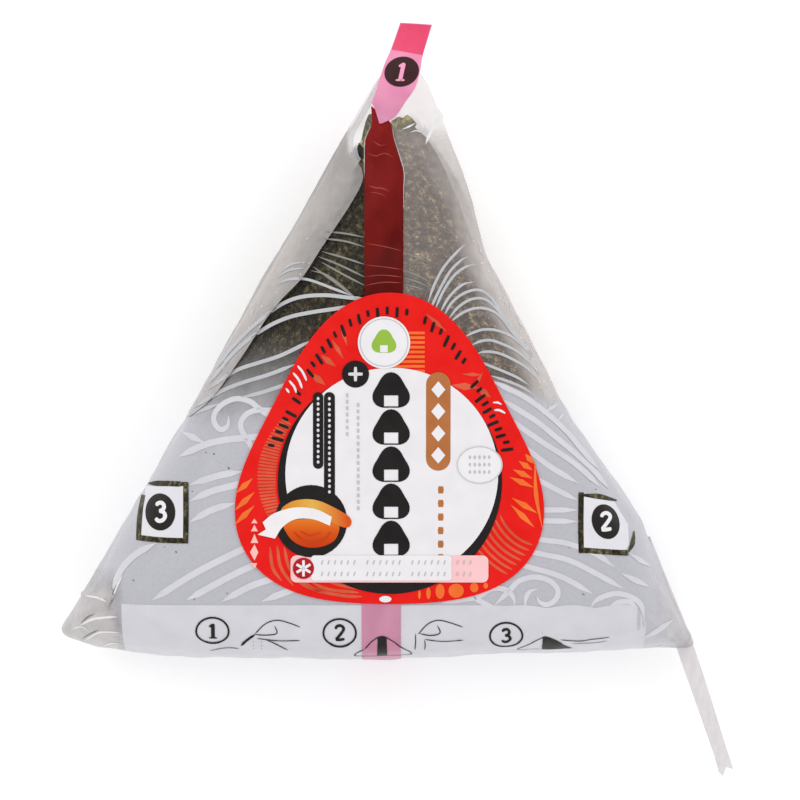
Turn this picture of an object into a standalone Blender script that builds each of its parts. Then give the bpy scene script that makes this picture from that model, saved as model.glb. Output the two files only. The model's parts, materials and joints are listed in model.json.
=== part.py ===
"""Wrapped onigiri rice ball, lying on its back with the printed front up.

A film pack drawn tight over a triangular rice block, with its tear tape, its pull tab at the
peak, a sticker on the front and a loose strip of side seam at the lower right corner.

Frame: origin in the middle of the flat back, +Z out of the printed front, +Y towards the peak,
+X to the reader's right. All sizes below are in millimetres.
"""

import math

import bmesh
import bpy
from mathutils import Vector
from mathutils.bvhtree import BVHTree

MM = 0.001

# The pack
FACE_Z = 30.0  # height of the front face's edge over the flat back
DOME = 1.2  # how far the middle of the front swells past that edge
STATIONS = 132  # points round the pack
SHOULDER_STEPS = 9  # points from the face's edge out to the film's edge
CAP_RINGS = 5
FILM_ROUNDING = 1  # smoothing passes over the film's outline
FACE_ROUNDING = 14  # and over the rice block's, whose corners are broad

# Each corner of the pack: where the film's edge is, where the flat of the face ends, the
# height of the film's edge, and the shoulder's two powers. A high first power and a low second
# one make a full, boxy shoulder; the other way round they pinch the film to a thin fin.
CORNERS = (
    # film x, y      face x, y       edge z  powers
    ((6.9, 53.2), (5.2, 24.0), 15.0, (1.25, 1.9)),  # peak, right
    ((1.0, 53.2), (1.6, 24.0), 15.0, (1.25, 1.9)),  # peak, left
    ((-7.7, 38.0), (-3.4, 21.0), 14.6, (1.4, 1.2)),  # left of the rice's top
    ((-17.6, 20.5), (-10.0, 13.0), 14.0, (2.4, 0.62)),  # left side
    ((-39.0, -17.0), (-30.3, -21.0), 14.0, (2.4, 0.62)),  # left side, low
    ((-50.6, -36.8), (-37.5, -30.5), 12.5, (2.2, 1.0)),  # left ear
    ((-47.0, -39.2), (-35.5, -33.5), 12.5, (2.3, 0.9)),  # left heel
    ((-33.0, -40.8), (-27.0, -34.6), 13.5, (2.8, 0.5)),  # base, left
    ((0.0, -41.1), (0.0, -35.2), 14.0, (3.2, 0.42)),  # base, middle
    ((33.0, -39.8), (28.0, -34.6), 13.5, (2.8, 0.5)),  # base, right
    ((47.5, -39.4), (36.0, -33.5), 12.5, (2.3, 0.9)),  # right heel
    ((50.4, -39.2), (38.0, -30.5), 12.5, (2.2, 1.0)),  # right ear
    ((42.3, -19.0), (34.0, -22.5), 13.5, (2.2, 0.66)),  # right side, low
    ((29.5, -0.8), (22.2, -4.6), 14.0, (2.4, 0.62)),  # right side
    ((17.6, 23.1), (11.0, 16.0), 14.2, (2.0, 0.75)),  # right side, high
    ((14.0, 35.0), (8.2, 21.5), 14.6, (1.4, 1.2)),  # right of the rice's top
)

# The sheets laid on it
SHEET = 0.3  # thickness of a film strip or sticker
GAP = 0.3  # clearance between two pieces that touch
TAPE_LIFT = 0.4  # the tape's straight facets cut this much closer to the pack's round ones
TAPE_X = 1.0  # the tape's centre line
TAPE_WIDTH = 5.9
TAPE_TOP = 46.0
BASE_TURN = (-30.0, 14.0)  # y and z of the point round which the tape turns under the base
TAPE_END_ANGLE = -35.0  # degrees below the level of that point
TAPE_STEPS = 28
TAPE_TURN_STEPS = 18

LABEL_CENTRE = (1.95, -10.3)
LABEL_RADIUS = 23.4
LABEL_WAVES = ((2, 0.62), (3, 2.8), (6, 0.16))  # waves round the rim that make it a soft triangle
LABEL_SPOKES = 60
LABEL_RINGS = 6

TAB_LEFT = ((0.2, 43.6), (-0.3, 47.5), (0.7, 52.2), (1.8, 55.9), (3.4, 59.9))
TAB_RIGHT = ((0.6, 43.6), (3.6, 47.5), (6.8, 52.2), (7.8, 55.3), (8.7, 59.6))
TAB_STEPS = 12
TAB_END_Z = 17.0

TAIL_TOP = (49.4, -40.2)
TAIL_TIP = (55.6, -59.6)
TAIL_WIDTH = 3.0
TAIL_TOP_Z = 12.3
TAIL_TIP_Z = 5.0
TAIL_STEPS = 8

FAR_ABOVE = 80.0


def clear_scene():
    for obj in list(bpy.data.objects):
        bpy.data.objects.remove(obj)


def make_collection(name):
    collection = bpy.data.collections.new(name)
    bpy.context.scene.collection.children.link(collection)
    return collection


def make_material(name, colour, roughness, metallic=0.0, alpha=1.0):
    material = bpy.data.materials.new(name)
    material.use_nodes = True
    shader = material.node_tree.nodes["Principled BSDF"]
    shader.inputs["Base Color"].default_value = (*colour, 1.0)
    shader.inputs["Roughness"].default_value = roughness
    shader.inputs["Metallic"].default_value = metallic
    shader.inputs["Alpha"].default_value = alpha
    material.diffuse_color = (*colour, alpha)
    return material


def make_object(name, bm, material, collection):
    """The bmesh, drawn in millimetres, as an object in metres."""
    bmesh.ops.scale(bm, vec=(MM, MM, MM), verts=bm.verts)
    bmesh.ops.recalc_face_normals(bm, faces=bm.faces)
    mesh = bpy.data.meshes.new(name)
    bm.to_mesh(mesh)
    bm.free()
    mesh.materials.append(material)
    mesh.shade_smooth()
    mesh.set_sharp_from_angle(angle=math.radians(40))
    obj = bpy.data.objects.new(name, mesh)
    collection.objects.link(obj)
    return obj


def mix(a, b, share):
    return a + (b - a) * share


def corner_values(corner):
    """A corner as one row: film x, y, face x, y, edge z, first power, second power."""
    film, face, edge_z, powers = corner
    return (*film, *face, edge_z, *powers)


def stations_on(start, end, perimeter):
    """How many stations the stretch between two corners takes, by its length."""
    length = math.dist(start[0], end[0])
    return max(2, round(STATIONS * length / perimeter))


def smooth(values, passes):
    """Each value of a closed row moved towards its two neighbours, that many times."""
    for _ in range(passes):
        values = [
            (values[i - 1] + 2 * v + values[(i + 1) % len(values)]) / 4
            for i, v in enumerate(values)
        ]
    return values


def pack_stations():
    """Rows of film x, y, face x, y, edge z and powers, evenly round the pack."""
    pairs = list(zip(CORNERS, CORNERS[1:] + CORNERS[:1]))
    perimeter = sum(math.dist(a[0], b[0]) for a, b in pairs)
    rows = []
    for a, b in pairs:
        count = stations_on(a, b, perimeter)
        start, end = corner_values(a), corner_values(b)
        rows += [
            [mix(s, e, i / count) for s, e in zip(start, end)] for i in range(count)
        ]
    columns = list(zip(*rows))
    passes = [FILM_ROUNDING] * 2 + [FACE_ROUNDING] * 5
    return list(zip(*[smooth(c, n) for c, n in zip(columns, passes)]))


def shoulder_height(share, powers):
    """1 at the face's edge, 0 at the film's edge."""
    return max(0.0, 1 - share ** powers[0]) ** powers[1]


def shoulder_ring(rows, step, front):
    """The ring of points at one step from the face's edge (0) out to the film's edge."""
    share = math.sin(math.pi / 2 * step / SHOULDER_STEPS)
    ring = []
    for fx, fy, ix, iy, edge_z, p, q in rows:
        height = shoulder_height(share, (p, q))
        far_z = FACE_Z if front else 0.0
        ring.append((mix(ix, fx, share), mix(iy, fy, share), mix(edge_z, far_z, height)))
    return ring


def face_rings(rows):
    """Rings from the face's edge in to its middle, swelling by DOME."""
    cx = sum(r[2] for r in rows) / len(rows)
    cy = sum(r[3] for r in rows) / len(rows)
    rings = []
    for n in range(1, CAP_RINGS):
        scale = 1 - n / CAP_RINGS
        z = FACE_Z + DOME * (1 - scale * scale)
        rings.append([(mix(cx, r[2], scale), mix(cy, r[3], scale), z) for r in rows])
    return rings, (cx, cy, FACE_Z + DOME)


def film_pack_mesh():
    """The pack as a loft: middle of the front, shoulders, film edge, shoulders, flat back."""
    rows = pack_stations()
    inner, middle = face_rings(rows)
    rings = list(reversed(inner))
    rings += [shoulder_ring(rows, s, True) for s in range(SHOULDER_STEPS + 1)]
    rings += [shoulder_ring(rows, s, False) for s in reversed(range(SHOULDER_STEPS))]
    bm = bmesh.new()
    loops = [[bm.verts.new(p) for p in ring] for ring in rings]
    top = bm.verts.new(middle)
    count = len(rows)
    for i in range(count):
        j = (i + 1) % count
        bm.faces.new((top, loops[0][i], loops[0][j]))
        for upper, lower in zip(loops, loops[1:]):
            bm.faces.new((upper[i], lower[i], lower[j], upper[j]))
    bm.faces.new(loops[-1])
    return bm


def front_z(surface, x, y, default):
    """Height of the pack's front over a point, or the default off its edge."""
    hit = surface.ray_cast(Vector((x, y, FAR_ABOVE)), Vector((0, 0, -1)))[0]
    return default if hit is None else hit.z


def sheet_from_grid(rows, closed=False):
    """An open surface through rows of points."""
    bm = bmesh.new()
    grid = [[bm.verts.new(p) for p in row] for row in rows]
    for upper, lower in zip(grid, grid[1:]):
        across = range(len(upper) if closed else len(upper) - 1)
        for i in across:
            j = (i + 1) % len(upper)
            bm.faces.new((upper[i], lower[i], lower[j], upper[j]))
    return bm


def thicken(obj, thickness):
    solidify = obj.modifiers.new("thickness", "SOLIDIFY")
    solidify.thickness = thickness * MM
    solidify.offset = 1.0
    return obj


def face_up(bm):
    """Turns an open sheet so that most of it looks up."""
    bm.normal_update()
    if sum(f.normal.z * f.calc_area() for f in bm.faces) < 0:
        bmesh.ops.reverse_faces(bm, faces=bm.faces)


def make_sheet(name, bm, material, collection):
    """An open sheet as an object with the sheet's thickness on its upper side."""
    bmesh.ops.scale(bm, vec=(MM, MM, MM), verts=bm.verts)
    face_up(bm)
    mesh = bpy.data.meshes.new(name)
    bm.to_mesh(mesh)
    bm.free()
    mesh.materials.append(material)
    obj = bpy.data.objects.new(name, mesh)
    collection.objects.link(obj)
    return thicken(obj, SHEET)


def tape_front_row(surface, y, xs):
    return [(x, y, front_z(surface, x, y, FACE_Z) + TAPE_LIFT) for x in xs]


def tape_turn_row(surface, angle, xs):
    """A row of the tape seen from the turning point inside the base, at an angle over level."""
    y0, z0 = BASE_TURN
    out = Vector((0, -math.cos(angle), math.sin(angle)))
    row = []
    for x in xs:
        start = Vector((x, y0, z0)) + out * FAR_ABOVE
        hit, normal = surface.ray_cast(start, -out)[:2]
        row.append(hit + normal * TAPE_LIFT)
    return row


def tear_tape_mesh(surface):
    """The tape from under the tab, down the front and round the base."""
    xs = [TAPE_X + TAPE_WIDTH * s for s in (-0.5, -0.25, 0, 0.25, 0.5)]
    y_turn = BASE_TURN[0]
    rows = []
    for i in range(TAPE_STEPS):
        rows.append(tape_front_row(surface, mix(TAPE_TOP, y_turn, i / TAPE_STEPS), xs))
    end = math.radians(TAPE_END_ANGLE)
    for i in range(TAPE_TURN_STEPS + 1):
        angle = mix(math.pi / 2, end, i / TAPE_TURN_STEPS)
        rows.append(tape_turn_row(surface, angle, xs))
    return sheet_from_grid(rows)


def label_rim(angle):
    """Distance of the sticker's rim from its centre, with the angle counted from the top."""
    return LABEL_RADIUS + sum(size * math.cos(n * angle) for n, size in LABEL_WAVES)


def label_mesh(surface):
    """The sticker: rings from its middle to its rim, laid over the tape."""
    cx, cy = LABEL_CENTRE
    lift = 3 * GAP
    angles = [2 * math.pi * i / LABEL_SPOKES for i in range(LABEL_SPOKES)]
    rings = []
    for n in range(1, LABEL_RINGS + 1):
        share = n / LABEL_RINGS
        ring = []
        for angle in angles:
            reach = label_rim(angle) * share
            x, y = cx + reach * math.sin(angle), cy + reach * math.cos(angle)
            ring.append((x, y, front_z(surface, x, y, FACE_Z) + lift))
        rings.append(ring)
    bm = sheet_from_grid(rings, closed=True)
    bm.verts.ensure_lookup_table()
    first = bm.verts[:LABEL_SPOKES]
    middle = bm.verts.new((cx, cy, front_z(surface, cx, cy, FACE_Z) + lift))
    for i, vert in enumerate(first):
        bm.faces.new((middle, vert, first[(i + 1) % LABEL_SPOKES]))
    bmesh.ops.recalc_face_normals(bm, faces=bm.faces)
    return bm


def along(points, share):
    """The point at that share of a polyline's corners."""
    place = share * (len(points) - 1)
    i = min(int(place), len(points) - 2)
    a, b = points[i], points[i + 1]
    return mix(a[0], b[0], place - i), mix(a[1], b[1], place - i)


def pull_tab_mesh(surface):
    """The tab, from its pointed root over the tape to its free end past the peak."""
    rows = []
    for i in range(TAB_STEPS + 1):
        left = along(TAB_LEFT, i / TAB_STEPS)
        right = along(TAB_RIGHT, i / TAB_STEPS)
        row = []
        for s in (0.0, 0.25, 0.5, 0.75, 1.0):
            x, y = mix(left[0], right[0], s), mix(left[1], right[1], s)
            resting = front_z(surface, x, y, 0.0) + 3 * GAP
            row.append((x, y, max(resting, TAB_END_Z)))
        rows.append(row)
    return sheet_from_grid(rows)


def tail_strip_mesh():
    """The loose end of the side seam, a flat strip that droops to its tip."""
    top, tip = Vector(TAIL_TOP), Vector(TAIL_TIP)
    direction = (tip - top).normalized()
    side = Vector((-direction.y, direction.x)) * TAIL_WIDTH / 2
    rows = []
    for i in range(TAIL_STEPS + 1):
        share = i / TAIL_STEPS
        middle = top.lerp(tip, share)
        z = mix(TAIL_TOP_Z, TAIL_TIP_Z, share * share)
        row = [middle - side, middle, middle + side]
        rows.append([(p.x, p.y, z) for p in row])
    return sheet_from_grid(rows)


def main():
    clear_scene()
    collection = make_collection("wrapped_onigiri")
    film = make_material("film", (0.45, 0.44, 0.43), 0.25)
    tape = make_material("tear_tape", (0.20, 0.012, 0.010), 0.3)
    tab = make_material("pull_tab", (0.82, 0.28, 0.42), 0.35)
    sticker = make_material("label", (0.82, 0.03, 0.02), 0.4)
    clear = make_material("clear_film", (0.78, 0.75, 0.76), 0.2)

    pack_bm = film_pack_mesh()
    bmesh.ops.recalc_face_normals(pack_bm, faces=pack_bm.faces)
    surface = BVHTree.FromBMesh(pack_bm)
    make_object("film_pack", pack_bm, film, collection)
    make_sheet("tear_tape", tear_tape_mesh(surface), tape, collection)
    make_sheet("label", label_mesh(surface), sticker, collection)
    make_sheet("pull_tab", pull_tab_mesh(surface), tab, collection)
    make_sheet("tail_strip", tail_strip_mesh(), clear, collection)


main()
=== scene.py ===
"""The looks of the wrapped onigiri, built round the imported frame.

Everything is drawn in millimetres in the frame's own axes, and turned to metres as each piece is
made: the pack lies on its back, +Z out of the printed front, +Y towards the peak.
"""

import json
import math
import random

import bmesh
import bpy
import numpy as np
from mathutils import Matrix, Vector, noise
from mathutils.bvhtree import BVHTree
from mathutils.geometry import delaunay_2d_cdt

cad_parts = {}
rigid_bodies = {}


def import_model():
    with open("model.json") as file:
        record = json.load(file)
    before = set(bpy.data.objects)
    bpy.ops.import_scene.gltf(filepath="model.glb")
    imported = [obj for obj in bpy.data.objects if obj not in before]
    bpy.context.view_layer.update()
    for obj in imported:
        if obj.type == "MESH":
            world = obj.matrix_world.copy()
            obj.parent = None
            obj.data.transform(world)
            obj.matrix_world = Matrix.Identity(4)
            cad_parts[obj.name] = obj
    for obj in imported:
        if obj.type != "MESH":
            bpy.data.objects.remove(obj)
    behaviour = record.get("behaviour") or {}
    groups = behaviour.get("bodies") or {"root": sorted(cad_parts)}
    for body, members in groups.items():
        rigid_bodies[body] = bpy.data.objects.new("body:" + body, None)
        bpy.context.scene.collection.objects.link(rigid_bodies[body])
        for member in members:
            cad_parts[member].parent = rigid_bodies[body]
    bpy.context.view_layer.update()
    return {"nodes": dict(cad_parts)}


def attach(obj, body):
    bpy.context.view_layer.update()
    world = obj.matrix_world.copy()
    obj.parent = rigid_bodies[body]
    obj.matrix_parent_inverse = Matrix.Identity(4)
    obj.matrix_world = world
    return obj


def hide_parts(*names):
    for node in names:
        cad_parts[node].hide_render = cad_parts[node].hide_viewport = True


MM = 0.001
HIGH = 80.0  # rays start this far out
UP = Vector((0, 0, 1))
MERGE = 0.002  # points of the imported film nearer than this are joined

# The film
FILM_LEVELS = 2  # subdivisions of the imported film
MIDDLE_Z = 14.0  # height of the film's edge
TAPE_X = 1.0  # the tape's middle, right of which the film is hazy
NORI_RIGHT = ((5.9, 44.1), (8.6, 39.6), (11.6, 32.9), (13.4, 29.4), (16.1, 20.3), (20.0, 12.5), (25.5, 1.6))
FOLD_INNER = (
    (1.0, 52.6), (-0.9, 46.6), (-3.4, 41.8), (-3.2, 38.2), (-2.0, 35.0), (-3.9, 30.6), (-8.4, 23.6),
    (-11.5, 18.8), (-16.0, 13.9), (-20.5, 7.0), (-24.1, 2.1), (-26.6, -0.6), (-29.4, -2.6),
)
FOLD_OUTER = ((-30.2, -2.6), (-29.6, -1.6), (-17.0, 20.2), (-7.0, 37.7), (0.6, 51.6))

# The rice block in its nori: at each corner its middle outline x, y and its front face x, y
NORI_ROWS = (
    ((6.8, 42.6), (6.2, 42.0)),
    ((0.8, 42.6), (0.8, 42.0)),
    ((-4.9, 34.5), (-2.2, 34.0)),
    ((-15.6, 17.5), (-11.9, 18.0)),
    ((-27.4, -2.0), (-24.6, 1.0)),
    ((-36.8, -18.0), (-35.0, -18.0)),
    ((-42.8, -29.5), (-39.0, -28.5)),
    ((-40.5, -36.4), (-37.0, -33.8)),
    ((-31.0, -39.0), (-30.0, -35.2)),
    ((0.0, -39.6), (0.0, -36.0)),
    ((31.0, -38.4), (30.0, -35.2)),
    ((40.5, -36.6), (37.5, -33.8)),
    ((43.6, -30.0), (40.5, -28.5)),
    ((37.6, -17.5), (35.8, -17.5)),
    ((27.3, -1.2), (25.6, 1.4)),
    ((20.8, 12.5), (20.0, 12.5)),
    ((16.6, 20.5), (16.0, 20.5)),
    ((12.0, 33.6), (11.4, 33.0)),
)

# The sheets laid on the film
TAPE_LEFT = ((-0.95, 46.6), (-0.75, 43.8), (-1.85, 41.2), (-1.95, 35.0), (-1.95, -20.0), (-2.35, -31.0))
TAPE_RIGHT = ((-0.85, 46.6), (2.2, 43.9), (2.6, 41.2), (4.1, 36.0), (4.0, -20.0), (3.7, -31.0))
TAPE_TURN = 145  # degrees that it goes round the base
TAPE_LIFT = 0.16
TAPE_STEP = 0.6
TAPE_COLUMNS = 12
LABEL_CENTRE = (1.95, -10.3)
LABEL_RADIUS = 23.4
LABEL_WAVES = ((2, 0.62), (3, 2.8), (6, 0.16))
LABEL_LIFT = 0.34
PRINT_STEP = 0.03  # each printed layer stands this much over the one below
TAB_LEFT = ((3.6, 59.8), (2.1, 55.5), (1.0, 52.9), (-0.5, 48.1), (-0.9, 47.1), (-0.4, 46.1), (0.3, 43.8))
TAB_RIGHT = ((8.7, 59.5), (7.2, 54.6), (6.8, 52.3), (6.0, 49.5), (4.5, 47.3), (2.8, 44.9), (0.8, 43.8))
TAB_Z = 17.2

# Print colours, sRGB
WHITE = (236, 233, 236)
RED = (232, 30, 26)
BLACK = (36, 33, 33)
ORANGE = (243, 116, 50)
BROWN = (183, 114, 66)
PEACH = (250, 192, 182)
GOLD = (236, 166, 56)
PALE_PINK = (250, 200, 202)
LIGHT_GREY = (196, 193, 196)
MARK_GREEN = (150, 190, 70)


# ---------------------------------------------------------------- shared helpers


def mix(a, b, share):
    return a + (b - a) * share


def fade(value, start, end):
    """0 at start, 1 at end, smooth between."""
    share = np.clip((value - start) / (end - start), 0, 1)
    return share * share * (3 - 2 * share)


def linear(colour):
    """An sRGB colour of 0 to 255 as a linear one."""
    shares = [c / 255 for c in colour]
    return tuple(s / 12.92 if s <= 0.04045 else ((s + 0.055) / 1.055) ** 2.4 for s in shares)


def clear_scene():
    for obj in list(bpy.data.objects):
        bpy.data.objects.remove(obj)


def settle(obj):
    """Applies the object's modifiers."""
    graph = bpy.context.evaluated_depsgraph_get()
    mesh = bpy.data.meshes.new_from_object(obj.evaluated_get(graph))
    obj.modifiers.clear()
    obj.data = mesh
    return obj


def make_piece(name, bm, material, thickness=0.0):
    """A bmesh drawn in millimetres as a piece that rides on the pack."""
    bmesh.ops.scale(bm, vec=(MM, MM, MM), verts=bm.verts)
    mesh = bpy.data.meshes.new(name)
    bm.to_mesh(mesh)
    bm.free()
    mesh.materials.append(material)
    mesh.shade_smooth()
    obj = bpy.data.objects.new(name, mesh)
    bpy.context.scene.collection.objects.link(obj)
    if thickness:
        solidify = obj.modifiers.new("thickness", "SOLIDIFY")
        solidify.thickness = thickness * MM
        solidify.offset = -1.0
        settle(obj)
        obj.data.set_sharp_from_angle(angle=math.radians(50))
    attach(obj, "root")
    return obj


def skin_of(*objects):
    """A search tree over the objects' surfaces, in millimetres."""
    bm = bmesh.new()
    for obj in objects:
        bm.from_mesh(obj.data)
    bmesh.ops.scale(bm, vec=(1 / MM,) * 3, verts=bm.verts)
    tree = BVHTree.FromBMesh(bm)
    bm.free()
    return tree


def curve(points, step, closed=False):
    """Points along a smooth line through the given ones."""
    points = [Vector(p) for p in points]
    count = len(points)
    if closed:
        around = [points[-1], *points, points[0], points[1]]
    else:
        around = [points[0] * 2 - points[1], *points, points[-1] * 2 - points[-2]]
    line = []
    for i in range(count if closed else count - 1):
        a, b, c, d = around[i : i + 4]
        parts = max(1, round((c - b).length / step))
        for j in range(parts):
            t = j / parts
            bend = (a * 2 - b * 5 + c * 4 - d) * t * t + (b * 3 - a - c * 3 + d) * t**3
            line.append((b * 2 + (c - a) * t + bend) / 2)
    return line if closed else [*line, points[-1]]


def spaced(loop, step):
    """The closed loop's straight sides, cut to lengths of about one step."""
    points = []
    for a, b in zip(loop, [*loop[1:], loop[0]]):
        parts = max(1, round(math.dist(a, b) / step))
        points += [(mix(a[0], b[0], i / parts), mix(a[1], b[1], i / parts)) for i in range(parts)]
    return points


def within(points, loops):
    """Which of the points lie inside an odd number of the loops."""
    x, y = points[:, 0], points[:, 1]
    inside = np.zeros(len(points), bool)
    for loop in loops:
        for (x0, y0), (x1, y1) in zip(loop, [*loop[1:], loop[0]]):
            if y0 == y1:
                continue
            crosses = (y0 > y) != (y1 > y)
            inside ^= crosses & (x < (x1 - x0) * (y - y0) / (y1 - y0) + x0)
    return inside


def across(line, y):
    """x of a line at each y, for a line that runs from high y to low."""
    line = sorted((py, px) for px, py in line)
    return np.interp(y, [p[0] for p in line], [p[1] for p in line])


def distance_to(line, x, y):
    """Distance from each point to a line of points in the plane."""
    here = np.stack([x, y], -1)
    nearest = np.full(x.shape, 1e9)
    for a, b in zip(line, line[1:]):
        a, b = np.array(a, float), np.array(b, float)
        along = np.clip(((here - a) @ (b - a)) / ((b - a) @ (b - a)), 0, 1)
        nearest = np.minimum(nearest, np.linalg.norm(here - a - along[..., None] * (b - a), axis=-1))
    return nearest


# ---------------------------------------------------------------- flat shapes


def oval(x, y, wide, high=None, tilt=0.0, parts=40):
    """A loop round (x, y) with those half-axes, turned by tilt degrees."""
    high = wide if high is None else high
    c, s = math.cos(math.radians(tilt)), math.sin(math.radians(tilt))
    loop = []
    for i in range(parts):
        a = 2 * math.pi * i / parts
        u, v = wide * math.cos(a), high * math.sin(a)
        loop.append((x + u * c - v * s, y + u * s + v * c))
    return loop


def round_box(x0, y0, x1, y1, radius):
    """A rectangle with round corners. A radius of half its width makes a capsule."""
    loop = []
    corners = ((x1, y1, 0), (x0, y1, 90), (x0, y0, 180), (x1, y0, 270))
    for cx, cy, start in corners:
        px = cx - math.copysign(radius, cx - (x0 + x1) / 2)
        py = cy - math.copysign(radius, cy - (y0 + y1) / 2)
        for i in range(7):
            a = math.radians(start + 15 * i)
            loop.append((px + radius * math.cos(a), py + radius * math.sin(a)))
    return loop


def rice_ball(x, y, size):
    """A soft triangle that stands on its base."""
    loop = []
    for i in range(36):
        a = 2 * math.pi * i / 36
        reach = size * (1 + 0.13 * math.cos(3 * a))
        loop.append((x + reach * math.sin(a), y + reach * math.cos(a)))
    return loop


def arc(x, y, radius, start, end, parts=8):
    turns = [math.radians(mix(start, end, i / parts)) for i in range(parts + 1)]
    return [(x + radius * math.cos(a), y + radius * math.sin(a)) for a in turns]


def ribbon(left, right, step, steps, columns):
    """Rows of (share across, x, y) down a strip, between its two edges."""
    left, right = curve(left, step), curve(right, step)
    rows = []
    for i in range(steps + 1):
        a = left[round(i / steps * (len(left) - 1))]
        b = right[round(i / steps * (len(right) - 1))]
        shares = [j / (columns - 1) for j in range(columns)]
        rows.append([(share, mix(a.x, b.x, share), mix(a.y, b.y, share)) for share in shares])
    return rows


def blob(points):
    """A smooth closed loop through the points."""
    return [(p.x, p.y) for p in curve(points, 0.5, closed=True)]


class Layer:
    """Shapes drawn flat, laid on a surface and joined into one piece."""

    def __init__(self, place, step=0.7):
        self.place = place
        self.step = step
        self.bm = bmesh.new()
        self.out = {}

    def put(self, x, y):
        return self.vert(*self.place(x, y))

    def vert(self, point, normal=UP):
        vert = self.bm.verts.new(point)
        self.out[vert] = normal
        return vert

    def grid(self, rows):
        for upper, lower in zip(rows, rows[1:]):
            for i in range(len(upper) - 1):
                self.bm.faces.new((upper[i], lower[i], lower[i + 1], upper[i + 1]))

    def field(self, *loops):
        """Fills the first loop, less the later ones."""
        rims = [spaced(loop, self.step) for loop in loops]
        rim = np.array([p for loop in rims for p in loop])
        low, high = rim.min(0), rim.max(0)
        xs, ys = (np.arange(low[i] + self.step / 2, high[i], self.step) for i in (0, 1))
        inner = np.array([(x, y) for x in xs for y in ys]).reshape(-1, 2)
        inner = inner[within(inner, rims)]
        if len(inner):
            gaps = np.linalg.norm(inner[:, None] - rim[None], axis=2).min(1)
            inner = inner[gaps > 0.5 * self.step]
        edges, first = [], 0
        for loop in rims:
            edges += [(first + i, first + (i + 1) % len(loop)) for i in range(len(loop))]
            first += len(loop)
        points = [Vector(p) for p in [*rim.tolist(), *inner.tolist()]]
        coords, _, faces = delaunay_2d_cdt(points, edges, [], 1, 1e-6)[:3]
        centres = np.array([sum((coords[i] for i in f), Vector((0, 0))) / len(f) for f in faces])
        verts = [self.put(p.x, p.y) for p in coords]
        for face, kept in zip(faces, within(centres, rims)):
            if kept:
                self.bm.faces.new([verts[i] for i in face])

    def line(self, points, width, taper=1.0, blunt=0.3, step=0.5):
        """A stroke along a smooth line. Its ends narrow to a share of its width."""
        path = curve(points, step)
        reach = [0.0]
        for a, b in zip(path, path[1:]):
            reach.append(reach[-1] + (b - a).length)
        rows = []
        for i, point in enumerate(path):
            ahead = path[min(i + 1, len(path) - 1)] - path[max(i - 1, 0)]
            side = Vector((-ahead.y, ahead.x)).normalized()
            end = min(reach[i], reach[-1] - reach[i])
            half = width / 2 * min(1.0, blunt + (1 - blunt) * end / taper)
            rows.append([self.put(*(point + side * half * s)) for s in (-1, 0, 1)])
        self.grid(rows)

    def leaf(self, start, end, width, bend=0.0):
        """A pointed leaf between two points."""
        a, b = Vector(start), Vector(end)
        side = Vector((a.y - b.y, b.x - a.x)).normalized()
        middle = (a + b) / 2 + side * bend
        self.line((a, middle, b), width, taper=(b - a).length / 2, blunt=0.05)

    def digit(self, number, x, y, size, weight=0.2, lean=0.0):
        """A plain numeral 1, 2 or 3, as high as size. It leans right by that share of its height."""
        for points, share in DIGITS[number]:
            placed = []
            for px, py in points:
                px += lean * (py - 0.5)
                placed.append((x + (px - 0.35) * size, y + (py - 0.5) * size))
            self.line(placed, weight * share * size, taper=0.06 * size, blunt=0.6, step=0.12)

    def piece(self, name, material, thickness=0.0):
        loose = [v for v in self.bm.verts if not v.link_faces]
        bmesh.ops.delete(self.bm, geom=loose, context="VERTS")
        self.bm.normal_update()
        for face in self.bm.faces:
            if face.normal.dot(self.out[face.verts[0]]) < 0:
                face.normal_flip()
        return make_piece(name, self.bm, material, thickness)


# Each numeral in a box 0.7 wide and 1 high, as strokes and their share of the weight
DIGITS = {
    1: (
        (((0.38, 0.02), (0.38, 0.98)), 1.3),
        (((0.16, 0.78), (0.34, 0.92)), 0.8),
        (((0.14, 0.04), (0.62, 0.04)), 0.6),
    ),
    2: (
        (
            ((0.12, 0.74), (0.16, 0.88), (0.36, 0.96), (0.56, 0.84), (0.56, 0.66), (0.36, 0.38), (0.12, 0.1)),
            1.0,
        ),
        (((0.1, 0.08), (0.36, 0.08), (0.64, 0.12)), 1.0),
    ),
    3: (
        (((0.12, 0.8), (0.22, 0.92), (0.42, 0.94), (0.54, 0.78), (0.46, 0.6), (0.28, 0.54)), 1.0),
        (((0.28, 0.54), (0.5, 0.5), (0.6, 0.3), (0.48, 0.1), (0.26, 0.05), (0.1, 0.18)), 1.0),
    ),
}


def strokes(name, skin, material, lines, lift, taper=1.0, blunt=0.1):
    """One piece of short strokes, each a width and a line."""
    layer = Layer(over(skin, lift))
    for width, line in lines:
        layer.line(line, width, taper, blunt, 0.3)
    return layer.piece(name, material)


def over(skin, lift):
    """Places (x, y) on the skin as seen from above, raised by lift."""

    def place(x, y):
        hit, normal = skin.ray_cast(Vector((x, y, HIGH)), -UP)[:2]
        if hit is None:
            hit, normal = skin.find_nearest(Vector((x, y, MIDDLE_Z)))[:2]
        return hit + normal * lift, normal

    return place


BASE_TURN = (-30.0, 14.0)  # y and z of the point round which the print turns under the base


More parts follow.
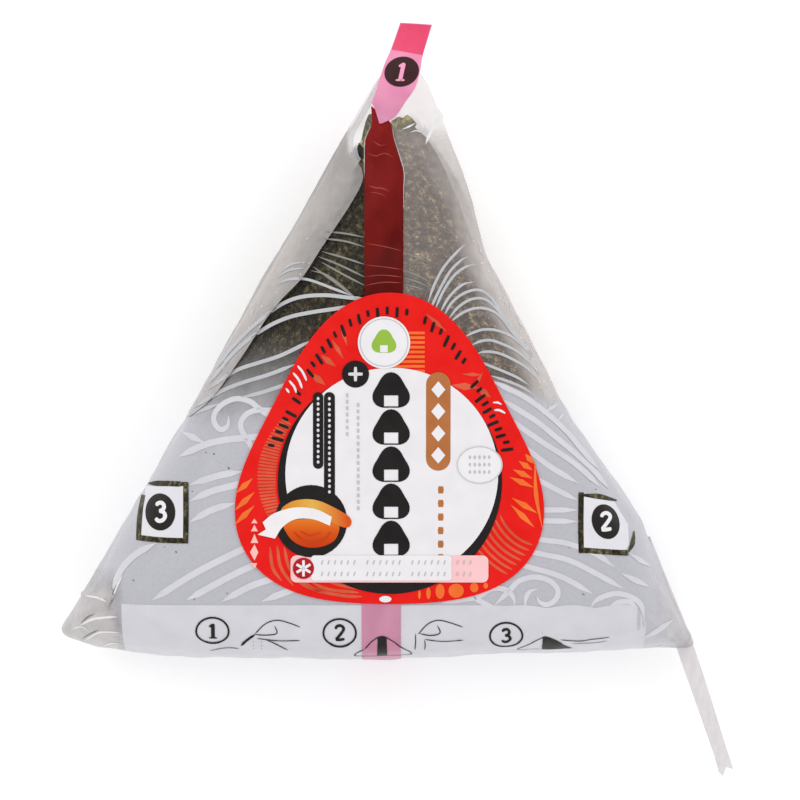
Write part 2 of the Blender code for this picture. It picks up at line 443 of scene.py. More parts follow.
def round_base(skin, lift):
    """Places x and a way v down from the turning line, measured over the skin and under the base."""
    y0, z0 = BASE_TURN

    def hit_at(x, degrees):
        a = math.radians(degrees)
        out = Vector((0, -math.sin(a), math.cos(a)))
        start = Vector((x, y0, z0)) + out * HIGH
        hit, normal = skin.ray_cast(start, -out)[:2]
        return hit, normal

    turns = np.arange(0, 172, 2)
    path = [hit_at(0.0, t)[0] for t in turns]
    ways = np.cumsum([0.0] + [(b - a).length for a, b in zip(path, path[1:])])

    def place(x, v):
        hit, normal = hit_at(x, float(np.interp(v, ways, turns)))
        return hit + normal * lift, normal

    return place


# ---------------------------------------------------------------- materials


class Paint:
    """A material under construction: its Principled shader and short ways to add nodes."""

    def __init__(self, name, colour, roughness, **settings):
        self.material = bpy.data.materials.new(name)
        self.material.use_nodes = True
        self.tree = self.material.node_tree
        self.shader = self.tree.nodes["Principled BSDF"]
        self.set("Base Color", (*linear(colour), 1.0))
        self.set("Roughness", roughness)
        self.set("Specular IOR Level", 0.06)
        for socket, value in settings.items():
            self.set(socket.replace("_", " "), value)

    def set(self, socket, value):
        self.join(self.shader.inputs[socket], value)

    def join(self, socket, value):
        if isinstance(value, bpy.types.NodeSocket):
            self.tree.links.new(value, socket)
        else:
            socket.default_value = value

    def add(self, kind, **settings):
        node = self.tree.nodes.new("ShaderNode" + kind)
        for name, value in settings.items():
            setattr(node, name, value)
        return node

    def place(self, stretch=(1, 1, 1), turn=0.0):
        """The point on the object in metres, stretched and turned about Z."""
        coordinates = self.add("TexCoord")
        mapping = self.add("Mapping")
        self.join(mapping.inputs["Vector"], coordinates.outputs["Object"])
        mapping.inputs["Scale"].default_value = stretch
        mapping.inputs["Rotation"].default_value = (0, 0, math.radians(turn))
        return mapping.outputs["Vector"]

    def noise(self, size, detail=3.0, rough=0.5, stretch=(1, 1, 1), turn=0.0):
        """Noise whose lumps are about size millimetres across."""
        node = self.add("TexNoise")
        self.join(node.inputs["Vector"], self.place(stretch, turn))
        node.inputs["Scale"].default_value = 1 / (size * MM)
        node.inputs["Detail"].default_value = detail
        node.inputs["Roughness"].default_value = rough
        return node.outputs["Fac"]

    def ramp(self, source, *stops):
        """Colours (sRGB) along a value."""
        node = self.add("ValToRGB")
        self.join(node.inputs["Fac"], source)
        elements = node.color_ramp.elements
        while len(elements) < len(stops):
            elements.new(0.5)
        for element, (position, colour) in zip(elements, stops):
            element.position = position
            element.color = (*linear(colour), 1.0)
        return node.outputs["Color"]

    def between(self, source, a, b):
        """Colours from a to b over the usual range of a noise."""
        return self.ramp(source, (0.3, a), (0.7, b))

    def span(self, source, low, high, start=0.3, end=0.7):
        """The source from start to end, spread from low to high."""
        node = self.add("MapRange")
        for name, value in zip(("From Min", "From Max", "To Min", "To Max"), (start, end, low, high)):
            node.inputs[name].default_value = value
        self.join(node.inputs["Value"], source)
        return node.outputs["Result"]

    def blend(self, share, a, b):
        """Colour a where share is 0 and b where it is 1."""
        node = self.add("Mix", data_type="RGBA")
        self.join(node.inputs[0], share)
        self.join(node.inputs[6], a)
        self.join(node.inputs[7], b)
        return node.outputs[2]

    def times(self, a, b, operation="MULTIPLY"):
        node = self.add("Math", operation=operation, use_clamp=True)
        self.join(node.inputs[0], a)
        self.join(node.inputs[1], b)
        return node.outputs["Value"]

    def attribute(self, name):
        node = self.add("Attribute", attribute_name=name)
        return node.outputs["Fac"]

    def axis(self, which):
        """The point's x, y or z in metres."""
        node = self.add("SeparateXYZ")
        self.join(node.inputs[0], self.add("TexCoord").outputs["Object"])
        return node.outputs[which]

    def bump(self, height, depth):
        """Relief as deep as depth millimetres."""
        node = self.add("Bump")
        self.join(node.inputs["Height"], height)
        node.inputs["Distance"].default_value = depth * MM
        self.set("Normal", node.outputs["Normal"])


def shade(colour, step):
    return tuple(min(255, max(0, c + step)) for c in colour)


def print_ink(name, colour, roughness=0.42, spread=5, **settings):
    """Printed film or paper: faint patches in the colour and gloss, and a little orange peel."""
    paint = Paint(name, colour, roughness, **settings)
    patches = paint.noise(3.2)
    paint.set("Base Color", paint.between(patches, shade(colour, -spread), shade(colour, spread)))
    paint.set("Roughness", paint.span(patches, roughness + 0.06, roughness - 0.06))
    paint.bump(paint.noise(1.1), 0.015)
    return paint.material


def film_material():
    """Clear film with a haze and white print, from the three attributes that write_film stores."""
    paint = Paint("film", (178, 173, 170), 0.3, Specular_IOR_Level=0.35)
    drift = paint.noise(7.0, detail=3.0, stretch=(1.5, 0.35, 1.0), turn=-30)
    fine = paint.noise(0.5, detail=4.0, rough=0.6)
    grey = paint.between(drift, (170, 165, 162), (188, 183, 181))
    pale = paint.between(drift, (216, 205, 200), (228, 218, 214))
    veil = paint.blend(paint.attribute("haze"), grey, pale)
    ink = paint.between(fine, (186, 186, 194), (194, 193, 201))
    printed = paint.attribute("printed")
    paint.set("Base Color", paint.blend(printed, veil, ink))
    uneven = paint.span(paint.noise(2.4, detail=5.0, rough=0.65), 0.84, 1.08)
    even = paint.times(uneven, printed, "MAXIMUM")
    paint.set("Alpha", paint.times(paint.attribute("cover"), even))
    paint.set("Roughness", paint.span(drift, 0.22, 0.38))
    paint.bump(paint.noise(1.6, detail=3.0), 0.05)
    return paint.material


def nori_material(name="nori", dark=(22, 20, 14), middle=(54, 49, 36), light=(108, 98, 64), dusty=False):
    """Toasted seaweed: dark green and brown fibres with khaki flecks. Where dusty, its right side is
    browner and finer in grain."""
    paint = Paint(name, middle, 0.5)
    fibres = paint.noise(0.62, detail=5.0, rough=0.72, stretch=(1.0, 0.7, 1.0), turn=35)
    patches = paint.noise(5.0, detail=3.0)
    base = paint.ramp(fibres, (0.38, dark), (0.5, middle), (0.61, light), (0.72, shade(light, 28)))
    dull = paint.ramp(fibres, (0.38, shade(dark, 4)), (0.54, (46, 42, 31)), (0.68, (100, 90, 58)))
    left = paint.blend(paint.span(patches, 0.0, 1.0, 0.42, 0.6), base, dull)
    paint.set("Base Color", left)
    if dusty:
        grains = paint.noise(1.1, detail=6.0, rough=0.8)
        dust = paint.ramp(
            grains, (0.39, (14, 11, 8)), (0.5, (62, 52, 40)), (0.59, (136, 117, 89)), (0.68, (212, 195, 160))
        )
        paint.set("Base Color", paint.blend(paint.span(paint.axis("X"), 0.0, 1.0, 0.002, 0.004), left, dust))
    paint.set("Roughness", paint.span(fibres, 0.35, 0.6))
    paint.bump(fibres, 0.1)
    return paint.material


def tape_material():
    """Dark red film over the nori, which turns pink where the white print lies under it."""
    paint = Paint("tear_tape", (110, 26, 22), 0.35)
    streaks = paint.noise(5.0, detail=5.0, stretch=(1.6, 0.7, 1.0))
    way = paint.span(paint.axis("Y"), 0.0, 1.0, 0.016, 0.046)
    red = paint.blend(
        way,
        paint.between(streaks, (72, 7, 5), (94, 13, 9)),
        paint.between(streaks, (122, 24, 22), (146, 34, 32)),
    )
    pink = paint.between(streaks, (194, 132, 158), (204, 144, 168))
    low = paint.span(paint.axis("Y"), 1.0, 0.0, -0.026, -0.024)
    paint.set("Base Color", paint.blend(low, red, pink))
    paint.set("Roughness", paint.span(streaks, 0.22, 0.36))
    paint.bump(paint.noise(1.4), 0.03)
    return paint.material


def tab_material():
    paint = Paint("pull_tab", (244, 152, 188), 0.38)
    way = paint.span(paint.axis("Y"), 0.0, 1.0, 0.0436, 0.052)
    drift = paint.noise(2.6)
    low = paint.between(drift, (206, 134, 168), (220, 148, 180))
    high = paint.between(drift, (241, 146, 184), (248, 160, 194))
    paint.set("Base Color", paint.blend(way, low, high))
    paint.bump(paint.noise(1.2), 0.02)
    return paint.material


def clear_material():
    paint = Paint("clear_strip", (226, 219, 221), 0.3)
    drift = paint.noise(2.2, stretch=(2.0, 0.5, 1.0), turn=-17)
    paint.set("Base Color", paint.between(drift, (229, 224, 227), (235, 231, 233)))
    paint.set("Alpha", paint.span(drift, 0.82, 0.9))
    paint.bump(drift, 0.04)
    return paint.material


def floor_material():
    paint = Paint("floor", (246, 246, 246), 0.7)
    paint.set("Emission Color", (1.0, 1.0, 1.0, 1.0))
    paint.set("Emission Strength", 0.22)
    paint.set("Base Color", paint.between(paint.noise(60.0), (245, 245, 245), (248, 248, 248)))
    return paint.material


# ---------------------------------------------------------------- film, nori and the folded edge

# Ridges in the film: height, width and line. They are the folds pressed in at the corners.
CREASES = (
    (0.45, 0.5, ((-46.6, -30.9), (-44.0, -31.0), (-41.6, -31.7))),
    (-0.4, 0.5, ((-46.4, -34.2), (-44.0, -33.0), (-41.5, -32.8))),
    (0.45, 0.5, ((-46.9, -35.6), (-44.6, -34.4), (-40.5, -33.9))),
    (0.4, 0.5, ((-46.6, -38.0), (-44.6, -37.0), (-43.0, -36.3), (-40.0, -36.2))),
    (-0.35, 0.5, ((-41.5, -29.0), (-41.0, -30.8), (-42.0, -32.6))),
    (0.4, 0.6, ((10.0, 45.5), (8.3, 42.2), (7.6, 40.2))),
    (0.3, 0.9, ((44.0, -30.0), (46.5, -33.5), (49.0, -37.0))),
    (-0.3, 0.7, ((43.0, -33.5), (45.5, -35.5), (48.4, -38.6))),
)


def film_relief(points, normals):
    """How far the film stands off its smooth shape at each point."""
    steep = 1 - np.abs(normals[:, 2])
    lumps = np.array([noise.noise(Vector(p) / 9) for p in points])
    puckers = np.array([noise.noise(Vector(p) / 3.3) for p in points])
    calm = 1 - 0.7 * fade(points[:, 1], 34.0, 42.0)
    relief = calm * ((0.06 + 0.3 * steep) * lumps + (0.03 + 0.16 * steep) * puckers)
    front = points[:, 2] > MIDDLE_Z
    for height, width, line in CREASES:
        gap = distance_to(line, points[:, 0], points[:, 1])
        relief += front * height * np.exp(-((gap / width) ** 2))
    return relief


EARS = (((-49.6, -36.8), (-0.93, -0.2)), ((50.0, -38.9), (0.8, -0.4)))
EAR_REACH = 1.1


def ear_points(points):
    """Draws the two lower corners of the film out to a point."""
    moved = points.copy()
    for (x, y), way in EARS:
        gap = np.hypot(points[:, 0] - x, points[:, 1] - y)
        pull = EAR_REACH * np.exp(-((gap / 2.2) ** 2))
        moved[:, 0] += pull * way[0]
        moved[:, 1] += pull * way[1]
    return moved


def fade_height(x):
    """y at which the white print is half there, and half the height over which it comes."""
    right = fade(x, 6.0, 16.0)
    middle = mix(2.8, 2.4 - 0.27 * (x - 19.0), right)
    return middle, mix(8.8, 1.5, right)


def film_cover(x, y, front):
    """(cover, printed, haze) at each point: how solid the film is, how much of it is white print,
    and how pale it is between the print."""
    middle, half = fade_height(x)
    printed = fade(middle - y, -half, half)
    # The pinched corners carry less print
    ears = np.maximum(fade(x, -39.4, -41.4), fade(x, 43.5, 46.0)) * fade(y, -26.0, -31.0)
    printed = printed * (1 - mix(0.65, 0.35, fade(x, -10.0, 10.0)) * ears)
    # Left of the tape the film is clear, and right of it hazy, most of all past the nori's edge
    right = fade(x, TAPE_X, TAPE_X + 2.0)
    beyond = x - across(NORI_RIGHT, y)
    pale = np.maximum(0.5 * ears, right * mix(1.0, 0.6, fade(beyond, -2.0, 1.0)))
    over_nori = mix(0.15, 0.23, fade(y, 8.0, 24.0)) + 0.1 * fade(y, 31.0, 41.0)
    veil = mix(0.03, over_nori, right)
    band = fade(beyond, -3.4, 1.2) * fade(y, 47.0, 38.0)
    veil = mix(veil, mix(0.84, 0.42, fade(y, 14.0, 44.0)), band)
    # Under the fold
    veil = mix(veil, 0.8, fade(across(FOLD_INNER, y) - x, 1.0, 2.0) * fade(y, -6.0, -1.0))
    # The peak, the corners and the sides
    veil = mix(veil, 0.16, fade(y, 41.5, 44.0))
    veil = mix(veil, 0.88, ears)
    veil = np.where(front, veil, np.maximum(veil, 0.7 * fade(y, 50.0, 36.0) + 0.1))
    return mix(veil, 0.95, printed), printed, pale


def write_film(obj, shares):
    """Stores the cover, printed and haze that the film material reads, on the mesh's points."""
    for name, values in zip(("cover", "printed", "haze"), shares):
        stored = obj.data.attributes.new(name, "FLOAT", "POINT")
        stored.data.foreach_set("value", np.asarray(values, np.float32))


def mesh_arrays(obj):
    """The mesh's points in millimetres and its normals."""
    count = len(obj.data.vertices)
    points, normals = np.empty(count * 3, np.float32), np.empty(count * 3, np.float32)
    obj.data.vertices.foreach_get("co", points)
    obj.data.vertex_normals.foreach_get("vector", normals)
    return points.reshape(-1, 3) / MM, normals.reshape(-1, 3)


def move_points(obj, points):
    obj.data.vertices.foreach_set("co", np.asarray(points * MM, np.float32).ravel())
    obj.data.update()


def make_film(cad, material):
    """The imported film, subdivided and puckered."""
    bm = bmesh.new()
    bm.from_mesh(cad.data)
    bmesh.ops.scale(bm, vec=(1 / MM,) * 3, verts=bm.verts)
    bmesh.ops.remove_doubles(bm, verts=bm.verts, dist=MERGE)
    bmesh.ops.join_triangles(
        bm, faces=bm.faces, angle_face_threshold=math.pi, angle_shape_threshold=math.pi
    )
    obj = make_piece("film", bm, material)
    subdivision = obj.modifiers.new("subdivision", "SUBSURF")
    subdivision.levels = subdivision.render_levels = FILM_LEVELS
    settle(obj)
    obj.data.shade_smooth()
    points, normals = mesh_arrays(obj)
    moved = ear_points(points + normals * film_relief(points, normals)[:, None])
    moved[:, 2] = np.maximum(moved[:, 2], 0.0)
    move_points(obj, moved)
    write_film(obj, film_cover(moved[:, 0], moved[:, 1], moved[:, 2] > MIDDLE_Z - 1))
    return obj


def fold_cover(x, y):
    """The folded edge: hazy, clearer at the peak, whiter where the print begins."""
    printed = fade(y, 4.0, -7.0)
    veil = mix(0.86, 0.5, fade(y, 14.0, 44.0))
    pale = 0.55 * fade(across(FOLD_INNER, y) - x, 1.0, 6.5)
    return mix(veil, 0.9, printed), printed, pale


def make_fold(skin, material):
    """The film's folded left edge, which lies on the front and ends in a crisp line."""
    inner = curve(FOLD_INNER, 1.0)
    line = [(p.x, p.y) for p in inner]

    def place(x, y):
        point, normal = over(skin, 0.0)(x, y)
        gap = float(distance_to(line, np.array([x]), np.array([y]))[0])
        rise = 0.35 * math.exp(-((gap / 1.3) ** 2)) * float(fade(y, -3.0, 7.0))
        return point + normal * (0.14 + rise), normal

    layer = Layer(place, step=0.9)
    layer.field([*line, *FOLD_OUTER])
    obj = layer.piece("film_fold", material)
    points = mesh_arrays(obj)[0]
    write_film(obj, fold_cover(points[:, 0], points[:, 1]))
    return obj


def nori_height(skin, x, y):
    """Lowest and highest z that the block may have at a point and stay inside the film."""
    top = skin.ray_cast(Vector((x, y, HIGH)), -UP)[0]
    low = skin.ray_cast(Vector((x, y, -HIGH)), UP)[0]
    if top is None or low is None:
        return MIDDLE_Z, MIDDLE_Z
    return low.z + 0.45, top.z - 0.45


def make_nori(skin, material):
    """The rice block wrapped in its sheet of nori, just inside the film."""
    rows = curve([(*edge, *face) for edge, face in NORI_ROWS], 1.2, closed=True)
    middle = sum(rows, Vector((0,) * 4)) / len(rows)
    bm = bmesh.new()
    rings = []

    def ring(share, aim, inward=0.0):
        points = []
        for row in rows:
            x = mix(mix(row[2], row[0], share), middle[2], inward)
            y = mix(mix(row[3], row[1], share), middle[3], inward)
            low, high = nori_height(skin, x, y)
            points.append(bm.verts.new((x, y, min(max(aim, low), high))))
        rings.append(points)

    caps, sides = 32, 12
    for n in range(caps):
        ring(0.0, HIGH, inward=0.97 * (1 - n / caps))
    for n in range(sides + 1):
        angle = math.pi / 2 * n / sides
        ring(math.sin(angle), mix(MIDDLE_Z, 31.0, math.cos(angle) ** 0.6))
    for n in reversed(range(sides)):
        angle = math.pi / 2 * n / sides
        ring(math.sin(angle), mix(MIDDLE_Z, 0.5, math.cos(angle) ** 0.6))
    for upper, lower in zip(rings, rings[1:]):
        for i in range(len(upper)):
            j = (i + 1) % len(upper)
            bm.faces.new((upper[i], lower[i], lower[j], upper[j]))
    bm.faces.new(list(reversed(rings[0])))
    bm.faces.new(rings[-1])
    bmesh.ops.recalc_face_normals(bm, faces=bm.faces)
    obj = make_piece("nori_rice", bm, material)
    points, normals = mesh_arrays(obj)
    relief = [0.2 * noise.noise(Vector(p) / 2.6) + 0.08 * noise.noise(Vector(p) / 0.9) for p in points]
    move_points(obj, points + normals * np.array(relief)[:, None])
    return obj


# The torn upper rim of the nori sheet
FLAP_LEFT = (
    (-1.4, 34.6), (-1.7, 36.4), (-1.9, 37.2), (-2.5, 38.0), (-2.7, 39.0), (-3.2, 40.8), (-2.2, 41.0),
    (-1.7, 39.0), (-0.6, 37.6), (0.2, 35.0),
)
FLAP_TOP = (
    (-0.8, 45.6), (-1.5, 45.4), (-2.0, 44.2), (-2.4, 42.6), (-2.7, 41.1), (-1.7, 40.8), (-1.0, 42.5),
)
FLAP_RIGHT = (
    (1.9, 42.6), (2.2, 44.3), (3.3, 45.0), (4.0, 44.8), (4.7, 45.3), (5.5, 44.8), (6.3, 43.9), (6.0, 43.3),
    (6.6, 42.7), (5.4, 42.2), (3.4, 42.5),
)


def make_flaps(skin, material):
    layer = Layer(over(skin, -0.2), step=0.5)
    for flap in (FLAP_LEFT, FLAP_TOP, FLAP_RIGHT):
        layer.field(list(flap))
    return layer.piece("nori_rim", material)


def make_shadow_line(skin, material):
    """Painted shadow: a dark strip under the film in the gap beside the folded film's inner edge, and a
    darker streak on the nori's left flap.
    """
    layer = Layer(over(skin, -0.12))
    inner = [(x + 0.35, y - 0.25) for x, y in FOLD_INNER[4:-1]]
    layer.line(inner, 1.1, taper=9.0, blunt=0.2)
    layer.line(((-3.0, 40.5), (-2.7, 39.4), (-2.4, 38.2)), 0.9, taper=0.5, blunt=0.5)
    return layer.piece("nori_rim_dark_and_painted_shadow", material)


# ---------------------------------------------------------------- print on the film

# Wave lines: width, and the lines of that width
WAVES = (
    (0.3, (
        ((-8.7, 23.2), (-5.0, 22.1), (-1.7, 21.0)),
        ((-9.2, 22.4), (-5.8, 21.0), (-1.7, 19.0)),
        ((-8.7, 21.5), (-5.0, 19.4), (-1.7, 17.7)),
        ((-10.0, 20.8), (-6.8, 18.5), (-3.1, 15.7)),
        ((-10.3, 20.2), (-7.6, 19.3), (-3.6, 16.2)),
        ((-8.4, 26.4), (-5.0, 26.0), (-1.8, 25.3)),
        ((-8.9, 25.3), (-5.2, 24.8), (-1.8, 23.8)),
        ((4.2, 22.9), (6.2, 22.2), (8.2, 21.3)),
        ((4.2, 20.2), (6.2, 19.4), (8.2, 18.3)),
        ((4.2, 19.0), (6.2, 18.4), (8.2, 17.5)),
        ((4.2, 18.1), (6.2, 17.5), (7.8, 17.0)),
    )),
    (0.6, (
        (
            (-4.2, 15.9), (-8.1, 16.3), (-12.0, 16.0), (-15.1, 14.8), (-17.8, 12.8), (-20.1, 10.9),
            (-23.2, 7.8), (-25.3, 4.9),
        ),
        ((-6.4, 14.2), (-10.4, 13.6), (-13.6, 12.9), (-16.7, 11.6), (-20.1, 9.4), (-23.2, 6.6), (-26.4, 2.6)),
        ((-10.1, 9.3), (-14.8, 7.0), (-18.4, 5.8), (-21.5, 4.8), (-24.2, 3.3), (-26.6, 1.6)),
        ((-12.6, 5.6), (-16.7, 4.0), (-20.6, 2.8), (-23.8, 1.6), (-26.8, 0.0), (-28.7, -1.2)),
        ((-14.8, 2.2), (-18.5, 1.0), (-21.3, 0.4)),
        ((-24.3, -0.5), (-26.8, -1.4), (-28.7, -2.3)),
    )),
    (0.85, (
        (
            (-18.5, -1.2), (-19.8, -0.2), (-21.8, 0.2), (-23.8, -0.5), (-25.2, -1.9), (-25.4, -3.3),
            (-24.6, -4.5), (-23.7, -4.5), (-23.1, -3.7), (-23.1, -2.5),
        ),
        ((-17.0, -1.6), (-18.9, -1.6), (-20.4, -2.3), (-21.2, -3.6), (-21.0, -4.8), (-20.4, -5.8)),
        (
            (20.7, -29.5), (22.1, -28.1), (24.5, -27.5), (26.8, -28.1), (28.1, -29.5), (27.8, -31.0),
            (26.5, -31.8), (25.3, -31.4), (24.8, -30.4),
        ),
        ((23.1, -32.3), (23.1, -31.0), (23.7, -29.8), (25.0, -29.3)),
        ((13.3, -31.0), (15.6, -30.6), (17.9, -29.3), (20.0, -29.5), (21.2, -30.7), (21.4, -32.0)),
        ((15.6, -31.0), (17.9, -32.3)),
        ((33.2, -32.3), (34.3, -31.0), (37.0, -30.1), (39.6, -30.7), (41.2, -32.1), (41.6, -34.3)),
        ((36.0, -32.3), (37.3, -31.5), (39.5, -31.5), (40.6, -32.8)),
        ((41.5, -37.4), (44.1, -36.0), (46.6, -34.6)),
    )),
    (1.05, (
        ((-19.5, -5.8), (-23.5, -6.2), (-26.8, -7.0), (-31.0, -8.9)),
        ((-30.7, -5.0), (-26.8, -6.7)),
        ((-20.9, -11.1), (-24.8, -11.8), (-29.1, -13.2)),
        ((-21.6, -13.1), (-25.7, -14.2), (-29.1, -15.7)),
        ((-22.0, -16.0), (-25.7, -17.1), (-29.1, -19.0)),
        ((-34.4, -22.3), (-37.5, -24.0), (-39.7, -26.2), (-40.9, -28.5), (-41.4, -30.0)),
        ((-20.9, -23.2), (-24.8, -25.1), (-29.1, -27.4), (-34.9, -31.1)),
        ((-19.5, -25.8), (-23.2, -27.6), (-29.6, -31.1)),
        ((-17.6, -28.2), (-19.8, -29.0), (-24.1, -31.3)),
        ((-14.3, -29.9), (-17.9, -31.3)),
    )),
    (0.42, (
        ((-15.2, 20.0), (-13.4, 21.3), (-11.0, 21.5)),
        ((-15.6, 19.1), (-13.9, 20.3), (-11.3, 20.6)),
        ((-15.9, 18.0), (-13.9, 18.8), (-11.7, 18.9), (-9.9, 18.5), (-7.0, 17.4)),
        ((7.9, 15.1), (8.9, 17.9), (10.4, 20.7), (12.6, 23.3), (13.8, 24.5)),
        ((8.6, 14.8), (9.8, 17.3), (11.4, 20.1), (13.2, 21.9), (14.3, 22.5)),
        ((8.9, 13.8), (10.3, 16.9), (12.0, 19.4), (13.8, 20.8), (15.4, 21.3)),
        ((9.6, 13.2), (11.2, 16.0), (13.2, 17.9), (15.2, 18.5)),
        ((10.2, 12.7), (11.6, 15.1), (13.5, 16.6), (15.7, 17.2), (17.5, 16.3), (19.7, 13.5), (22.2, 9.8)),
        ((10.9, 12.3), (12.6, 14.4), (14.7, 15.7), (16.9, 15.7), (19.1, 13.8), (20.9, 11.0), (24.5, 7.2)),
        ((11.0, 11.8), (13.2, 13.5), (15.4, 14.3), (17.5, 14.1), (19.4, 12.9), (21.6, 9.8)),
        ((13.2, 9.3), (14.0, 10.0), (16.2, 10.9), (18.4, 10.9), (20.7, 10.1), (22.7, 8.6), (24.5, 6.7)),
        ((14.2, 8.1), (15.7, 9.0), (17.6, 9.3), (19.8, 8.6), (22.0, 7.5), (24.3, 5.5), (25.5, 3.9)),
        ((15.0, 7.0), (16.7, 7.5), (18.8, 7.3), (21.0, 6.4), (23.4, 5.0), (25.2, 3.1)),
        ((15.3, 6.4), (17.1, 5.5), (19.8, 4.4), (22.0, 3.4), (23.8, 2.2)),
        ((17.3, 3.9), (20.1, 3.0), (22.7, 1.9), (24.8, 0.5)),
    )),
    (0.85, (
        ((17.8, 3.0), (20.1, 1.9), (22.9, 0.5), (26.0, -1.7), (29.5, -4.8), (32.3, -8.1), (34.8, -10.9)),
        ((22.1, -1.6), (24.9, -3.4), (27.6, -5.6), (31.2, -8.6), (34.0, -11.2), (36.3, -13.9)),
        ((22.6, -4.4), (25.9, -6.7), (29.5, -9.0), (32.3, -11.2), (34.8, -13.6)),
        ((24.6, -8.6), (27.3, -10.6), (31.2, -12.9)),
        ((26.3, -13.1), (28.4, -14.2), (31.2, -15.6)),
        ((26.3, -1.9), (28.4, -0.6)),
        ((28.2, -3.3), (29.5, -2.0)),
        ((26.8, -17.1), (31.2, -17.1)),
        ((26.8, -18.8), (31.2, -18.9)),
        ((26.2, -21.8), (29.6, -22.3), (34.1, -24.0), (36.9, -26.0)),
        ((25.4, -23.9), (29.8, -24.9), (34.1, -27.0), (38.2, -29.3)),
        ((23.8, -26.0), (28.5, -27.4), (33.5, -30.1)),
        ((39.4, -24.0), (42.9, -26.2)),
        ((38.0, -27.0), (42.6, -29.3)),
    )),
)


def tucked(line):
    """The line, drawn on under the sticker at an end that stops near the sticker's rim."""
    line = [Vector(p) for p in line]
    centre = Vector(LABEL_CENTRE)
    for end, before in ((0, 1), (-1, -2)):
        out = line[end] - centre
        gap = out.length - (Vector(label_rim(math.atan2(out.x, out.y))) - centre).length
        if 0 < gap < 3.6:
            inner = line[end] + (line[end] - line[before]).normalized() * 3.4
            line.insert(0 if end == 0 else len(line), inner)
    return line


def make_waves(name, skin, material, low, high):
    """The wave lines of a width between low and high."""
    layer = Layer(over(skin, 0.06))
    for width, lines in WAVES:
        if low <= width < high:
            for line in lines:
                layer.line(tucked(line) if width > 0.35 else line, width, taper=2.0, blunt=0.12)
    return layer.piece(name, material)


SPECKS = 70
SPARKLES = 80
MARKER_3 = (-33.8, -17.5)
MARKER_2 = (35.6, -19.0)


def make_specks(skin, material):
    """A few dark crumbs of nori under the print."""
    rng = random.Random(5)
    layer = Layer(over(skin, 0.03), step=0.2)
    for _ in range(SPECKS):
        x, y = rng.uniform(-38, 38), rng.uniform(-31, -4)
        layer.field(oval(x, y, rng.uniform(0.06, 0.16), rng.uniform(0.08, 0.24), rng.uniform(0, 90), 8))
    return layer.piece("specks", material)


def make_sparkles(skin, material):
    """Pinprick glints where the film is crinkled, beside the nori's two edges."""
    rng = random.Random(11)
    layer = Layer(over(skin, 0.07), step=0.2)
    for _ in range(SPARKLES):
        y = rng.uniform(-3.0, 26.0)
        x = float(across(NORI_RIGHT, y)) + rng.gauss(1.6, 1.1)
        if rng.random() < 0.35:
            x = float(across(FOLD_INNER, y)) - rng.uniform(0.6, 4.0)
        layer.field(oval(x, y, rng.uniform(0.05, 0.1), rng.uniform(0.08, 0.22), rng.uniform(-40, 40), 8))
    return layer.piece("film_sparkles", material)


def make_marker_windows(skin, material):
    """Clear lines in the print that frame the two side numbers and show the nori."""
    layer = Layer(over(skin, 0.1), step=0.5)
    layer.line(((-36.2, -13.2), (-33.0, -13.1), (-29.3, -13.15)), 0.85, taper=1.6, blunt=0.2)
    for line in (
        ((-29.75, -12.8), (-29.7, -17.5), (-29.75, -22.3)),
        ((-29.4, -21.9), (-33.5, -21.8), (-37.6, -21.5)),
        ((-37.2, -21.9), (-37.25, -18.5), (-36.9, -15.0)),
        ((31.75, -14.4), (31.7, -19.0), (31.75, -23.8)),
        ((31.4, -23.3), (35.3, -23.6), (39.2, -23.9)),
    ):
        layer.line(line, 0.85, taper=0.3, blunt=0.9)
    layer.line(((31.4, -14.8), (34.5, -15.1), (37.6, -15.8)), 0.8, taper=2.6, blunt=0.25)
    layer.line(((38.9, -24.0), (39.9, -22.6), (40.3, -20.6)), 0.75, taper=1.6, blunt=0.2)
    return layer.piece("print_windows", material)


def make_marker_fields(skin, material):
    layer = Layer(over(skin, 0.085))
    layer.field([(-36.6, -13.6), (-30.0, -13.4), (-30.1, -21.5), (-36.8, -21.3)])
    layer.field([(32.0, -15.0), (37.2, -16.0), (39.3, -19.6), (39.3, -22.6), (38.8, -23.4), (32.0, -23.2)])
    return layer.piece("print_marker_fields", material)


def make_black_marks(skin, material):
    """The discs of the two side numbers."""
    layer = Layer(over(skin, 0.12), step=0.5)
    layer.field(oval(*MARKER_3, 2.45, 2.85, 4))
    layer.field(oval(*MARKER_2, 2.15, 2.75, 22))
    return layer.piece("print_black", material)


def make_marker_digits(skin, material):
    layer = Layer(over(skin, 0.16), step=0.4)
    layer.digit(3, -33.7, -17.5, 3.1)
    layer.digit(2, *MARKER_2, 2.9)
    return layer.piece("marker_digits", material)


PANEL_SIDES = (-39.8, 42.0)
PANEL_WAYS = (1.9, 30.0)  # where it starts and ends, down from the turning line
PANEL_ROWS = 30
PANEL_COLUMNS = 103


def panel_top(x):
    """How far down from the turning line the panel begins: straight, then cloud-shaped."""
    cloud = fade(x, 18.0, 24.0)
    bumps = 0.5 * abs(math.sin((x - 19.0) * 0.42))
    end = 3.2 * fade(x, 40.4, 42.0)
    return PANEL_WAYS[0] + cloud * (0.5 - bumps) + end


def make_panel(place, material):
    layer = Layer(place)
    x0, x1 = PANEL_SIDES
    rows = []
    for j in range(PANEL_ROWS + 1):
        row = []
        for i in range(PANEL_COLUMNS + 1):
            x = mix(x0, x1, i / PANEL_COLUMNS)
            row.append(layer.put(x, mix(panel_top(x), PANEL_WAYS[1], j / PANEL_ROWS)))
        rows.append(row)
    layer.grid(rows)
    return layer.piece("print_panel", material)


